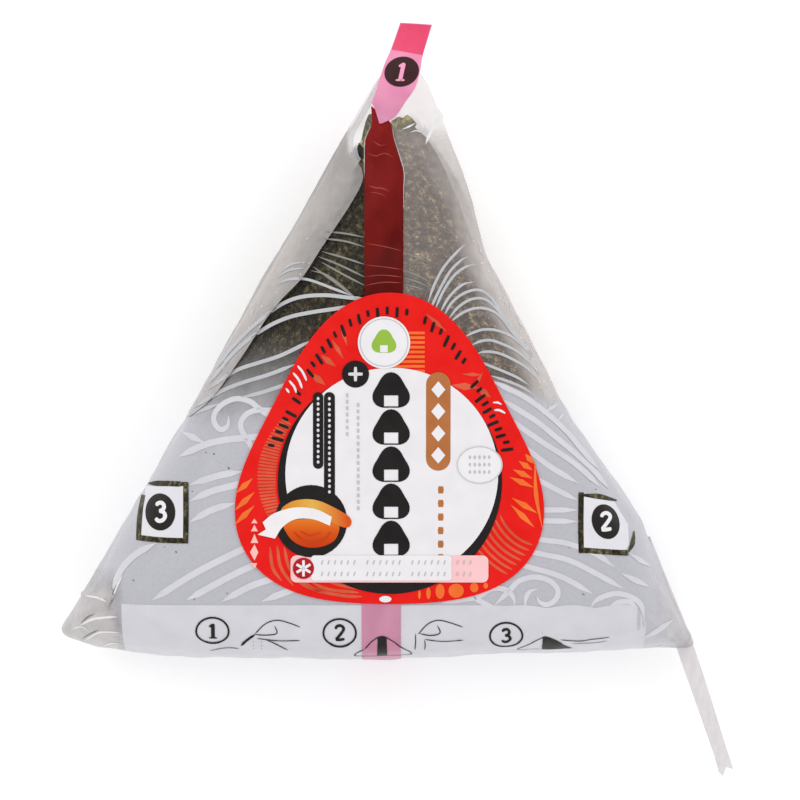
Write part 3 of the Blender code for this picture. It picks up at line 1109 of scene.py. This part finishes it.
# Width and line of each stroke
PANEL_LINES = (
    # A hand that pulls the pack open
    (0.16, ((-11.9, -35.4), (-13.7, -34.7), (-15.6, -34.3), (-17.4, -34.9), (-19.0, -36.5))),
    (0.16, ((-19.0, -36.6), (-17.3, -36.7), (-15.6, -36.4), (-15.9, -35.2))),
    (0.16, ((-18.7, -37.3), (-15.3, -37.7), (-12.0, -37.6))),
    (0.4, ((-19.0, -36.6), (-20.1, -37.5), (-21.2, -38.6))),
    (0.16, ((-17.2, -37.6), (-15.5, -38.4), (-13.9, -39.4))),
    (0.14, ((-26.2, -40.4), (-24.4, -39.5), (-22.9, -39.2), (-21.5, -39.3))),
    # A hand that draws the film off sideways
    (0.16, ((6.4, -36.5), (7.9, -34.9), (9.5, -34.3), (11.4, -34.7), (13.4, -35.4))),
    (0.16, ((6.6, -36.4), (8.4, -36.7), (9.8, -36.3), (9.4, -35.1))),
    (0.16, ((7.4, -37.4), (10.4, -37.8), (13.4, -37.6))),
    (0.14, ((6.0, -36.4), (6.0, -38.0), (5.9, -39.4))),
    (0.14, ((7.4, -37.5), (7.5, -38.4), (7.4, -39.4))),
    # The opened rice ball
    (0.16, (
        (-2.0, -38.9), (-0.4, -37.3), (0.8, -36.8), (2.0, -37.3), (3.8, -38.7), (5.2, -40.0), (4.6, -41.0),
        (-2.6, -41.0), (-3.4, -40.2), (-2.0, -38.9),
    )),
    (0.16, (
        (25.8, -41.0), (23.0, -41.0), (22.0, -40.4), (23.7, -38.8), (25.6, -37.5), (26.4, -37.2),
        (28.9, -38.8),
    )),
    (0.14, ((28.6, -38.0), (31.8, -38.4), (33.6, -38.2), (36.3, -38.2))),
    (0.12, ((30.4, -39.0), (33.4, -39.2), (36.0, -39.1))),
)
RING_PLACES = ((1, -25.6, -36.1), (2, -5.8, -36.3), (3, 20.1, -36.9))


def down_base(place):
    """Turns the heights above into ways round the base: they lie closer together low down."""

    def put(x, y):
        way = BASE_TURN[0] - y
        return place(x, way + 0.5 * max(0.0, way - 8.0))

    return put


def make_panel_ink(skin, material):
    """Ringed numbers and simple line drawings of a hand and a rice ball."""
    layer = Layer(down_base(round_base(skin, 0.1)), step=0.4)
    for number, x, y in RING_PLACES:
        layer.field(oval(x, y, 2.68, 2.36), oval(x, y, 2.38, 2.06))
        layer.digit(number, x, y, 2.6, 0.17)
    for width, points in PANEL_LINES:
        layer.line(points, width, taper=0.5, step=0.25)
    layer.field([(0.1, -37.0), (0.8, -36.8), (1.5, -37.0), (1.6, -41.0), (0.0, -41.0)])
    layer.field([(25.8, -37.4), (26.4, -37.2), (27.1, -37.5), (28.9, -38.9), (30.6, -41.0), (25.8, -41.0)])
    for x in (-19.3, -18.0):
        for n in range(3):
            layer.line(((x, -37.8 - 0.6 * n), (x, -38.1 - 0.6 * n)), 0.14, taper=0.1, step=0.2)
    return layer.piece("panel_ink", material)


# Painted highlights along the folds at the film's corners and peak, and thin pale lines beside the tape's
# edges: width and line
GLINTS = (
    (0.3, ((-46.3, -30.9), (-44.0, -31.0), (-41.9, -31.6))),
    (0.34, ((-46.8, -35.5), (-44.6, -34.4), (-42.5, -34.0), (-40.5, -33.8))),
    (0.26, ((-46.5, -38.2), (-44.8, -37.1), (-43.2, -36.4), (-40.2, -36.3))),
    (0.22, ((-48.6, -36.4), (-46.6, -35.7), (-45.2, -36.6))),
    (0.22, ((-43.8, -39.2), (-41.9, -38.3), (-40.2, -38.4))),
    (0.3, ((-39.6, -27.2), (-40.6, -29.2), (-41.4, -31.2))),
    (0.5, ((10.0, 45.5), (9.1, 43.8), (8.3, 42.2), (7.6, 40.4))),
    (0.34, ((3.9, 42.8), (4.9, 43.2), (6.1, 43.9))),
    (0.26, ((5.2, 42.3), (6.1, 42.6), (7.0, 42.3))),
    (0.08, ((2.25, 43.6), (2.7, 41.2), (4.16, 36.2), (4.14, 33.0), (4.08, 29.0))),
    (0.07, ((-0.95, 43.6), (-1.95, 41.2), (-2.04, 38.0), (-2.04, 35.0))),
)
# Painted shade in the creases at the film's lower left corner: width and line
CREASE_SHADES = (
    (0.3, ((-46.6, -35.1), (-45.6, -34.2), (-44.4, -33.6))),
    (0.3, ((-41.6, -29.2), (-41.2, -30.6), (-41.9, -32.4))),
    (0.2, ((-46.8, -37.8), (-45.2, -36.8), (-43.6, -36.0))),
)


# ---------------------------------------------------------------- tape, label, tab and tail


def make_tape(skin, material):
    """The tear tape, from under the tab down the front and round the base."""
    shares = [i / TAPE_COLUMNS for i in range(TAPE_COLUMNS + 1)]
    layer = Layer(over(skin, TAPE_LIFT))
    rows = []
    y0, z0 = BASE_TURN
    y = TAPE_LEFT[0][1]
    while y > y0:
        left, right = float(across(TAPE_LEFT, y)), float(across(TAPE_RIGHT, y))
        crumple = 0.22 * math.exp(-(((y - 41.0) / 2.6) ** 2))
        row = []
        for share in shares:
            x = mix(left, right, share)
            vert = layer.put(x, y)
            vert.co.z += crumple * (1 + noise.noise(Vector((x, y, 3.0)) / 1.3))
            row.append(vert)
        rows.append(row)
        y -= TAPE_STEP
    left, right = TAPE_LEFT[-1][0], TAPE_RIGHT[-1][0]
    for degrees in range(0, TAPE_TURN, 3):
        a = math.radians(degrees)
        out = Vector((0, -math.sin(a), math.cos(a)))
        row = []
        for share in shares:
            start = Vector((mix(left, right, share), y0, z0))
            hit, normal = skin.ray_cast(start + out * HIGH, -out)[:2]
            row.append(layer.vert(hit + normal * TAPE_LIFT, normal))
        rows.append(row)
    layer.grid(rows)
    return layer.piece("tear_tape_film", material, thickness=0.06)


# Painted highlights on the tape's wrinkles near its top (the first four), and faint lighter lines across the
# tape lower down: width and line
TAPE_GLINTS = (
    (0.22, ((-1.4, 33.7), (-0.2, 33.3), (0.8, 33.2), (1.9, 32.7))),
    (0.14, ((-1.2, 32.6), (0.2, 32.4), (1.4, 31.9))),
    (0.2, ((-0.6, 40.9), (0.5, 40.2), (1.4, 40.4))),
    (0.14, ((-1.5, 39.0), (-0.2, 38.5), (1.2, 38.9), (2.6, 38.2))),
    (0.12, ((-1.8, 24.4), (1.0, 23.9), (3.9, 23.2))),
    (0.14, ((-1.8, 21.0), (1.0, 20.7), (3.9, 20.3))),
    (0.14, ((-1.8, 19.2), (1.0, 19.4), (3.9, 19.1))),
    (0.14, ((-1.8, 17.8), (1.0, 18.3), (3.9, 18.2))),
)


def label_rim(angle, inset=0.0):
    """A point on the sticker's rim, at an angle from the top."""
    reach = LABEL_RADIUS + sum(size * math.cos(n * angle) for n, size in LABEL_WAVES) - inset
    return LABEL_CENTRE[0] + reach * math.sin(angle), LABEL_CENTRE[1] + reach * math.cos(angle)


RIM_POINTS = 150
DISC_CENTRE = (2.0, -12.7)
DISC_RADIUS = 17.4
BADGE_CENTRE = (1.1, 8.9)
OVAL_CENTRE = (15.9, -10.1)
PLUS_CENTRE = (-3.3, 4.0)
FROST_CENTRE = (-11.4, -26.1)
TICKS = 46
TICK_GAPS = (6, 9, 10, 25, 33, 34)
TICK_LENGTHS = (1.0, 1.6, 1.2, 1.9)
TICK_INSET = 2.2

# Leaves: start, end and width
CORAL_LEAVES = (
    ((-10.3, 4.2), (-8.0, 2.3), 1.1), ((-8.7, 7.0), (-6.4, 5.2), 1.0), ((-7.0, 9.4), (-5.2, 6.4), 0.7),
    ((-5.6, 11.6), (-4.6, 8.4), 0.6), ((11.6, 2.3), (15.6, 1.9), 1.2), ((15.6, 2.0), (17.6, 0.4), 1.1),
    ((13.2, 4.0), (16.4, 3.9), 0.6), ((15.2, 2.0), (16.4, 4.3), 0.5), ((7.6, 13.4), (10.8, 10.6), 0.7),
)
CORAL_STROKES = (
    ((-16.6, -22.8), (-16.2, -26.0), (-14.8, -28.1)),
    ((-15.5, -22.6), (-14.9, -26.0), (-13.0, -28.8)),
    ((-14.4, -22.8), (-13.6, -26.0), (-11.5, -28.6), (-8.1, -29.8)),
    ((-12.6, -27.2), (-9.6, -29.4), (-5.0, -30.4), (-2.3, -30.5)),
    ((-10.0, -28.4), (-7.4, -29.4), (-2.8, -29.9)),
    ((-7.2, -28.4), (-4.3, -29.0), (-1.9, -29.2)),
)
ORANGE_LEAVES = (
    ((-21.9, -14.5), (-19.3, -12.2)), ((-22.1, -17.2), (-19.0, -14.3)), ((-22.1, -19.4), (-19.0, -16.4)),
    ((23.0, -8.4), (24.3, -9.9)), ((22.0, -9.5), (24.1, -10.9)), ((21.1, -10.8), (24.1, -12.2)),
    ((20.6, -12.0), (24.3, -13.6)), ((20.9, -15.2), (24.9, -17.6)), ((20.8, -16.3), (24.4, -19.8)),
)
# Dabs: x, y and half-axes
ORANGE_DABS = (
    (12.3, -29.6, 1.2, 1.1), (9.8, -29.7, 0.7, 1.15), (8.0, -30.0, 0.35, 0.9), (6.6, -30.2, 0.2, 0.7),
    (15.1, -29.1, 0.65, 0.75), (16.9, -28.8, 0.35, 0.45),
)
WHITE_STROKES = (
    ((-12.3, 5.3), (-11.5, 4.3), (-10.9, 3.0)), ((-13.0, 4.2), (-12.1, 3.1), (-11.6, 1.8)),
    ((-13.6, 3.0), (-12.8, 2.0), (-12.5, 1.1)), ((-14.1, 1.8), (-13.6, 1.1)),
    ((18.0, -0.4), (18.7, -0.4), (19.3, -0.7)), ((18.2, -1.6), (19.0, -1.6), (19.9, -2.1)),
)
BOWL = (
    (-14.3, -19.0), (-10.0, -18.4), (-6.1, -19.0), (-6.3, -21.4), (-8.1, -22.6), (-10.4, -22.9),
    (-12.4, -22.3), (-13.8, -21.0),
)
BOWL_CREASE = ((-12.9, -20.4), (-11.6, -21.6), (-9.9, -22.0), (-8.0, -21.4), (-7.2, -20.4))
LID = (
    (-14.8, -17.3), (-13.5, -15.9), (-11.2, -15.4), (-8.8, -15.7), (-6.0, -17.0), (-4.2, -18.2),
    (-4.0, -19.3), (-5.0, -19.8), (-8.0, -18.6), (-11.0, -17.8),
)
BANNER = (
    ((-17.7, -19.0), (-15.9, -17.6), (-12.8, -16.7), (-9.6, -16.9), (-7.0, -18.1)),
    ((-7.3, -19.5), (-9.9, -18.5), (-12.6, -18.5), (-14.6, -19.7), (-15.8, -21.5)),
)
BANNER_TAILS = [(-18.5, -20.9), (-17.2, -20.1)]  # the notch in its left end


class Sticker:
    """The sticker's printed layers: each is a piece of one ink, on a level of its own."""

    def __init__(self, skin):
        self.skin = skin
        self.pieces = []

    def layer(self, level, step=0.6):
        return Layer(over(self.skin, LABEL_LIFT + PRINT_STEP * level), step)

    def keep(self, layer, name, material, thickness=0.0):
        self.pieces.append(layer.piece(name, material, thickness))


def make_label(skin):
    """The sticker and all that is printed on it."""
    sticker = Sticker(skin)
    sheet = sticker.layer(0, 0.8)
    sheet.field([label_rim(2 * math.pi * i / RIM_POINTS) for i in range(RIM_POINTS)])
    sticker.keep(sheet, "label_sticker", print_ink("label_red", RED, 0.36, 4), 0.2)
    for draw in (
        draw_coral,
        draw_orange,
        draw_black,
        draw_white,
        draw_pinks,
        draw_brown,
        draw_marks,
        draw_badges,
        draw_grey,
        draw_dots,
        draw_picture,
        draw_frost,
    ):
        draw(sticker)
    return sticker.pieces


def draw_coral(sticker):
    """On the red: hatching, leaves, arcs and strokes."""
    coral = sticker.layer(1)
    x, y = DISC_CENTRE
    last = 33
    for n in range(last + 1):
        a = math.radians(mix(150, 200, n / last))
        far = mix(19.4, 20.6, math.sin(math.pi * n / last))
        rim = [(x + r * math.cos(a), y + r * math.sin(a)) for r in (17.7, far)]
        coral.line(rim, 0.34, taper=0.2, blunt=0.8)
    for start, end, width in CORAL_LEAVES:
        coral.leaf(start, end, width)
    last = 6
    for n in range(last + 1):
        share = n / last
        angles = mix(201, 217, share), mix(254, 243, share)
        points = arc(26.2, -15.2, mix(7.6, 13.2, share), *angles, 14)
        coral.line(points, 0.4, taper=0.8, blunt=0.4)
    for line in CORAL_STROKES:
        coral.line(line, 0.5, taper=1.2)
    sticker.keep(coral, "label_coral", print_ink("ink_coral", (214, 92, 64), 0.4, 10))


def draw_orange(sticker):
    """Stripes under the badge, leaves at both sides and dabs at the bottom."""
    orange = sticker.layer(2)
    for n in range(9):
        y = 10.4 - 0.74 * n
        orange.line(((2.4, y - 0.1), (5.0, y), (7.4, y)), 0.42, taper=0.2, blunt=0.9)
    for start, end in ORANGE_LEAVES:
        orange.leaf(start, end, 0.95)
    orange.leaf((24.5, -9.2), (25.7, -20.2), 0.7, bend=-0.4)
    for x, y, wide, high in ORANGE_DABS:
        orange.field(oval(x, y, wide, high, 0, 24))
    sticker.keep(orange, "label_orange", print_ink("ink_orange", ORANGE, 0.4, 6))


def draw_black(sticker):
    """The dark disc, and tick marks that run round the border in place of words."""
    black = sticker.layer(3)
    black.field(oval(*DISC_CENTRE, DISC_RADIUS, DISC_RADIUS, 0, 90))
    for n in range(TICKS):
        if n in TICK_GAPS:
            continue
        angle = math.radians(mix(-80, 82, n / (TICKS - 1)))
        length = TICK_LENGTHS[(n * 7) % len(TICK_LENGTHS)]
        a, b = label_rim(angle, TICK_INSET), label_rim(angle, TICK_INSET + length)
        black.line((a, b), 0.5, taper=0.2, blunt=0.8)
    sticker.keep(black, "label_black", print_ink("ink_black", BLACK, 0.4, 4))


def draw_white(sticker):
    white = sticker.layer(4)
    white.field(oval(2.3, -11.5, 16.5, 16.5, 0, 90))
    for line in WHITE_STROKES:
        white.line(line, 0.36, taper=0.4, blunt=0.5)
    white.field(oval(1.3, -30.9, 0.95, 0.5, 0, 20))
    sticker.keep(white, "label_white", print_ink("ink_white", WHITE, 0.42, 3))


def draw_pinks(sticker):
    """The pale bar at the bottom, and a column of small points at the left."""
    pink = sticker.layer(5)
    pink.field(round_box(-13.4, -28.3, 17.3, -24.1, 0.9))
    sticker.keep(pink, "label_pale_pink", print_ink("ink_pale_pink", PALE_PINK, 0.42, 3))
    peach = sticker.layer(5, 0.4)
    x = -19.0
    for y, wide, high in ((-18.8, 0.5, 0.35), (-19.9, 0.55, 0.5), (-21.5, 0.6, 0.7)):
        peach.field([(x - wide, y - high), (x + wide, y - high), (x, y + high)])
    peach.field([(-19.7, -23.6), (x, -24.9), (-18.4, -23.6), (x, -22.4)])
    peach.field([(-19.6, -25.3), (-18.6, -25.3), (-18.9, -26.1)])
    sticker.keep(peach, "label_peach", print_ink("ink_peach", PEACH, 0.42, 3))


def draw_brown(sticker):
    brown = sticker.layer(5)
    brown.field(round_box(7.6, -11.0, 11.4, 4.3, 1.9))
    for n in range(6):
        y = -13.4 - 2.1 * n
        brown.line(((9.9, y), (9.9, y - 1.1)), 0.9, taper=0.2, blunt=0.8)
    sticker.keep(brown, "label_brown", print_ink("ink_brown", BROWN, 0.42, 5))


def draw_marks(sticker):
    """Rice-ball marks down the middle in place of a name, and the dark shapes beside them."""
    marks = sticker.layer(6, 0.5)
    for n in range(5):
        y = 1.2 - 5.75 * n
        block = [(1.1, y - 2.2), (3.3, y - 2.2), (3.3, y - 0.5), (1.1, y - 0.5)]
        marks.field(rice_ball(2.2, y, 2.75), block)
    marks.field(oval(*PLUS_CENTRE, 2.1, 2.1))
    marks.field(round_box(-9.9, -10.7, -8.3, 1.2, 0.78))
    marks.field(round_box(-8.2, -15.6, -6.5, 1.2, 0.8))
    marks.field(oval(-10.2, -18.8, 5.6, 5.6))
    sticker.keep(marks, "label_marks", print_ink("ink_marks", BLACK, 0.42, 4))


def draw_badges(sticker):
    """The round badge, the oval, the bar's paler part and the diamonds on the brown bar."""
    badge = sticker.layer(7, 0.5)
    badge.field(oval(*BADGE_CENTRE, 4.05, 4.05))
    badge.field(oval(*OVAL_CENTRE, 3.57, 2.95))
    badge.field(round_box(-10.2, -28.0, 11.6, -24.1, 0.5))
    for n in range(4):
        y = 1.6 - 3.4 * n
        badge.field([(9.5, y + 1.3), (8.4, y), (9.5, y - 1.3), (10.6, y)])
    sticker.keep(badge, "label_badges", print_ink("ink_badge", (238, 235, 238), 0.42, 3))


def draw_grey(sticker):
    """Fine rings, and rows of strokes and dots in place of small words."""
    grey = sticker.layer(8, 0.4)
    grey.field(oval(*BADGE_CENTRE, 3.75, 3.75), oval(*BADGE_CENTRE, 3.62, 3.62))
    grey.field(oval(*OVAL_CENTRE, 3.5, 2.88), oval(*OVAL_CENTRE, 3.38, 2.76))
    for x, y, low in ((-4.6, 1.0, -6.0), (-2.9, -0.5, -17.5)):
        while y > low:
            grey.line(((x, y), (x, y - 0.55)), 0.5, taper=0.2, blunt=0.7)
            y -= 1.0
    for y in (-25.2, -27.0):
        for n in range(24):
            x = -8.6 + 1.0 * n
            if n % 7 != 6:
                grey.line(((x, y - 0.3), (x + 0.2, y + 0.35)), 0.3, taper=0.2, blunt=0.7)
    for n in range(15):
        grey.field(oval(14.4 + 0.75 * (n % 5), -8.9 - 1.15 * (n // 5), 0.2, 0.3, 0, 10))
    sticker.keep(grey, "label_grey", print_ink("ink_grey", LIGHT_GREY, 0.42, 4))


def draw_dots(sticker):
    """Pale dots on the two dark bars, the plus on its disc, and the green mark on the badge."""
    dots = sticker.layer(8, 0.4)
    for x, count, step in ((-9.1, 13, 0.82), (-7.35, 18, 0.85)):
        for n in range(count):
            dots.field(oval(x, 0.2 - step * n, 0.22, 0.26, 0, 10))
    x, y = PLUS_CENTRE
    dots.line(((x - 1.1, y), (x + 1.1, y)), 0.5, taper=0.2, blunt=0.8)
    dots.line(((x, y - 1.1), (x, y + 1.1)), 0.5, taper=0.2, blunt=0.8)
    sticker.keep(dots, "label_dots", print_ink("ink_dots", (222, 219, 222), 0.42, 3))
    green = sticker.layer(8, 0.4)
    x, y = BADGE_CENTRE
    block = [(x - 0.6, y - 1.5), (x + 0.6, y - 1.5), (x + 0.6, y - 0.4), (x - 0.6, y - 0.4)]
    green.field(rice_ball(x, y, 1.8), block)
    sticker.keep(green, "label_green", print_ink("ink_green", MARK_GREEN, 0.42, 6))


def draw_picture(sticker):
    """A golden lid over an orange bowl, with a blank white banner across."""
    bowl = sticker.layer(8, 0.5)
    bowl.field(blob(BOWL))
    bowl_stops = (0.0, (198, 50, 18)), (0.55, (214, 84, 22)), (1.0, (230, 122, 36))
    bowl_ink = shaded_ink("ink_bowl", (224, 100, 30), "Y", -0.0232, -0.0186, *bowl_stops)
    sticker.keep(bowl, "label_bowl", bowl_ink)
    gloss = sticker.layer(9, 0.4)
    gloss.line(BOWL_CREASE, 0.45, taper=1.5, step=0.3)
    gloss.line(((-11.9, -20.3), (-10.4, -21.0), (-8.7, -20.5)), 0.3, taper=1.0, step=0.3)
    sticker.keep(gloss, "label_bowl_lines", print_ink("ink_bowl_lines", (196, 66, 20), 0.42, 6))
    lid = sticker.layer(9, 0.5)
    lid.field(blob(LID))
    lid_stops = (0.0, (222, 136, 38)), (0.45, (228, 178, 82)), (1.0, (218, 84, 28))
    lid_ink = shaded_ink("ink_lid", GOLD, "X", -0.0145, -0.0045, *lid_stops)
    sticker.keep(lid, "label_lid", lid_ink)
    banner = sticker.layer(10, 0.5)
    banner.field([(p.x, p.y) for line in BANNER for p in curve(line, 0.5)] + BANNER_TAILS)
    sticker.keep(banner, "label_banner", print_ink("ink_banner", (240, 236, 238), 0.42, 3))


def draw_frost(sticker):
    """A red disc with a six-pointed star."""
    cx, cy = FROST_CENTRE
    disc = sticker.layer(8, 0.4)
    disc.field(oval(cx, cy, 1.65, 1.65))
    sticker.keep(disc, "label_frost_disc", print_ink("ink_frost", (176, 30, 34), 0.42, 4))
    star = sticker.layer(9, 0.4)
    for degrees in (90, 150, 210):
        a = math.radians(degrees)
        x, y = 1.25 * math.cos(a), 1.25 * math.sin(a)
        star.line(((cx - x, cy - y), (cx + x, cy + y)), 0.42, taper=0.2, blunt=0.9)
    sticker.keep(star, "label_star", print_ink("ink_star", (242, 236, 238), 0.42, 3))


def shaded_ink(name, colour, axis, low, high, *stops):
    """An ink whose colour changes along an axis, from low to high in metres."""
    paint = Paint(name, colour, 0.42)
    way = paint.span(paint.axis(axis), 0.0, 1.0, low, high)
    paint.set("Base Color", paint.ramp(way, *stops))
    return paint.material


def make_tab(skin, material):
    """The pull tab, from its point on the tape to its free end past the peak."""
    place = over(skin, 0.45)
    layer = Layer(place)
    rows = []
    for line in ribbon(TAB_LEFT, TAB_RIGHT, 0.4, 44, 11):
        row = []
        for share, x, y in line:
            curl = 0.25 * math.sin(math.pi * share) - 0.15 * fade(y, 55.0, 60.0)
            row.append(layer.vert((x, y, max(place(x, y)[0].z, TAB_Z) + curl)))
        rows.append(row)
    layer.grid(rows)
    return layer.piece("pull_tab_strip", material, thickness=0.16)


def make_tab_print(skin):
    """The tab's darker end, and its number on a disc."""
    end = Layer(over(skin, 0.03), step=0.5)
    end.field([(3.72, 59.68), (2.26, 55.5), (7.12, 54.66), (8.52, 59.4)])
    disc = Layer(over(skin, 0.04), step=0.4)
    disc.field(oval(3.85, 52.0, 2.78, 2.35, 18))
    number = Layer(over(skin, 0.08), step=0.4)
    number.digit(1, 3.8, 52.0, 2.9, 0.17, lean=0.22)
    return [
        end.piece("tab_end", print_ink("ink_tab_end", (238, 84, 120), 0.4)),
        disc.piece("tab_disc", print_ink("ink_tab_disc", (66, 42, 43), 0.4, 4)),
        number.piece("tab_number", print_ink("ink_tab_number", (248, 168, 200), 0.4, 3)),
    ]


TAIL_LEFT = ((43.1, -21.8), (45.2, -29.5), (46.9, -36.0), (47.9, -40.3), (53.5, -55.4), (54.7, -58.7))
TAIL_RIGHT = ((43.4, -21.6), (46.0, -28.2), (48.8, -35.0), (51.0, -41.0), (56.2, -56.2), (57.3, -59.5))
TAIL_NIB = ((54.3, -57.6), (56.1, -59.2), (55.6, -60.6), (54.9, -59.9))
TAIL_NIB_Z = 5.5


def make_tail(material):
    """The clear seam strip down the right edge and its loose end past the corner."""
    layer = Layer(None)
    rows = []
    for line in ribbon(TAIL_LEFT, TAIL_RIGHT, 0.6, 60, 5):
        row = []
        for share, x, y in line:
            droop = fade(-y, 40.5, 60.5)
            z = mix(13.4, 5.2, float(droop)) + 0.12 * math.sin(math.pi * share)
            row.append(layer.vert((x, y, z + 0.1 * noise.noise(Vector((x, y, 0)) / 4))))
        rows.append(row)
    layer.grid(rows)
    nib = [layer.vert((x, y, TAIL_NIB_Z)) for x, y in TAIL_NIB]
    layer.bm.faces.new(nib)
    return layer.piece("tail_film", material, thickness=0.08)


# ---------------------------------------------------------------- stage


def make_floor():
    mesh = bpy.data.meshes.new("floor")
    bm = bmesh.new()
    bmesh.ops.create_grid(bm, x_segments=4, y_segments=4, size=6.0)
    bmesh.ops.translate(bm, vec=(0, 0, -0.0001), verts=bm.verts)
    bm.to_mesh(mesh)
    bm.free()
    mesh.materials.append(floor_material())
    floor = bpy.data.objects.new("floor", mesh)
    bpy.context.scene.collection.objects.link(floor)


def make_lamp(name, place, target, size, power):
    data = bpy.data.lights.new(name, "AREA")
    data.shape = "DISK"
    data.size = size
    data.energy = power
    lamp = bpy.data.objects.new(name, data)
    lamp.location = place
    lamp.rotation_euler = (Vector(target) - Vector(place)).to_track_quat("-Z", "Y").to_euler()
    bpy.context.scene.collection.objects.link(lamp)


CAMERA_X = 3.58
CAMERA_HEIGHT = 714
LENS = 197.9


def make_camera():
    data = bpy.data.cameras.new("camera")
    data.sensor_width = 36.0
    data.lens = LENS
    camera = bpy.data.objects.new("camera", data)
    camera.location = (CAMERA_X * MM, 0.0, CAMERA_HEIGHT * MM)
    bpy.context.scene.collection.objects.link(camera)
    bpy.context.scene.camera = camera


def make_light():
    scene = bpy.context.scene
    scene.view_settings.view_transform = "Standard"
    world = bpy.data.worlds.new("studio")
    world.use_nodes = True
    background = world.node_tree.nodes["Background"]
    background.inputs["Color"].default_value = (1, 1, 1, 1)
    background.inputs["Strength"].default_value = 0.84
    scene.world = world
    make_lamp("key", (-0.5, 0.7, 1.5), (0, 0, 0), 1.2, 4.5)
    make_lamp("fill", (0.9, -0.3, 1.2), (0, 0, 0), 1.2, 2.0)


# ---------------------------------------------------------------- the object


def make_contents(skin):
    """The seaweed round the rice, as the film shows it, and a painted shadow beside the folded film."""
    rim_paint = nori_material("nori_rim", (66, 64, 40), (124, 119, 80), (176, 170, 124))
    # painted shadow beside the folded film, in nori colours
    shadow_paint = nori_material("painted_shadow_nori", (14, 13, 11), (22, 20, 17), (40, 37, 27))
    return [
        make_nori(skin, nori_material(dusty=True)),
        make_flaps(skin, rim_paint),
        make_shadow_line(skin, shadow_paint),
    ]


def make_print(skin, black_ink):
    """What is printed on the film's front."""
    window_paint = nori_material("window_nori", (34, 32, 24), (66, 63, 48), (124, 118, 88))
    return [
        make_waves("print_faint_waves", skin, print_ink("print_faint", (142, 141, 136), 0.4, 4), 0.0, 0.4),
        make_waves("print_fine_waves", skin, print_ink("print_fine", (192, 193, 197), 0.4, 4), 0.4, 0.7),
        make_waves("print_waves", skin, print_ink("print_white", (213, 212, 218), 0.4, 4), 0.7, 2.0),
        make_specks(skin, print_ink("specks", (120, 124, 134), 0.5, 6)),
        make_sparkles(skin, print_ink("sparkle", (230, 228, 228), 0.3, 4)),
        make_marker_windows(skin, window_paint),
        make_marker_fields(skin, print_ink("marker_field", (226, 225, 231), 0.4, 3)),
        make_black_marks(skin, black_ink),
        make_marker_digits(skin, print_ink("marker_digit", (236, 235, 238), 0.4, 3)),
    ]


def main():
    clear_scene()
    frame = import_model()
    nodes = frame["nodes"]

    film_paint = film_material()
    black_ink = print_ink("print_black", (42, 39, 38), 0.4, 4)
    film = make_film(nodes["film_pack"], film_paint)
    film_skin = skin_of(film)
    fold = make_fold(film_skin, film_paint)
    skin = skin_of(film, fold)
    tape = make_tape(film_skin, tape_material())
    panel = make_panel(round_base(film_skin, 0.05), print_ink("print_panel", (211, 210, 216), 0.4, 3))

    film_parts = [
        film,
        fold,
        *make_contents(film_skin),
        *make_print(skin, black_ink),
        panel,
        make_panel_ink(skin_of(film, tape, panel), black_ink),
        # painted highlights on the film's folds
        strokes("film_painted_glints", skin, print_ink("glint", (232, 232, 233), 0.3, 4), GLINTS, 0.05, 1.2),
        # painted shade in the corner's creases
        strokes("film_painted_crease_shade", skin, print_ink("crease_shade", (132, 131, 131), 0.4, 4), CREASE_SHADES, 0.04, 0.8),
    ]
    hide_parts("film_pack")

    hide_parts("tear_tape")
    # painted highlights on the tear tape's wrinkles, and faint lighter lines across it
    tape_glint_ink = print_ink("tape_glint", (160, 66, 64), 0.4, 10)
    tape_glint_strokes = strokes("tape_painted_glints_and_lines", skin_of(tape), tape_glint_ink, TAPE_GLINTS, 0.03, 1.0, 0.2)

    label_parts = make_label(film_skin)
    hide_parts("label")

    tab = make_tab(film_skin, tab_material())
    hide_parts("pull_tab")
    for piece in [tab, *make_tab_print(skin_of(tab))]:
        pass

    tail = make_tail(clear_material())
    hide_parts("tail_strip")

    make_floor()
    make_light()
    make_camera()


main()
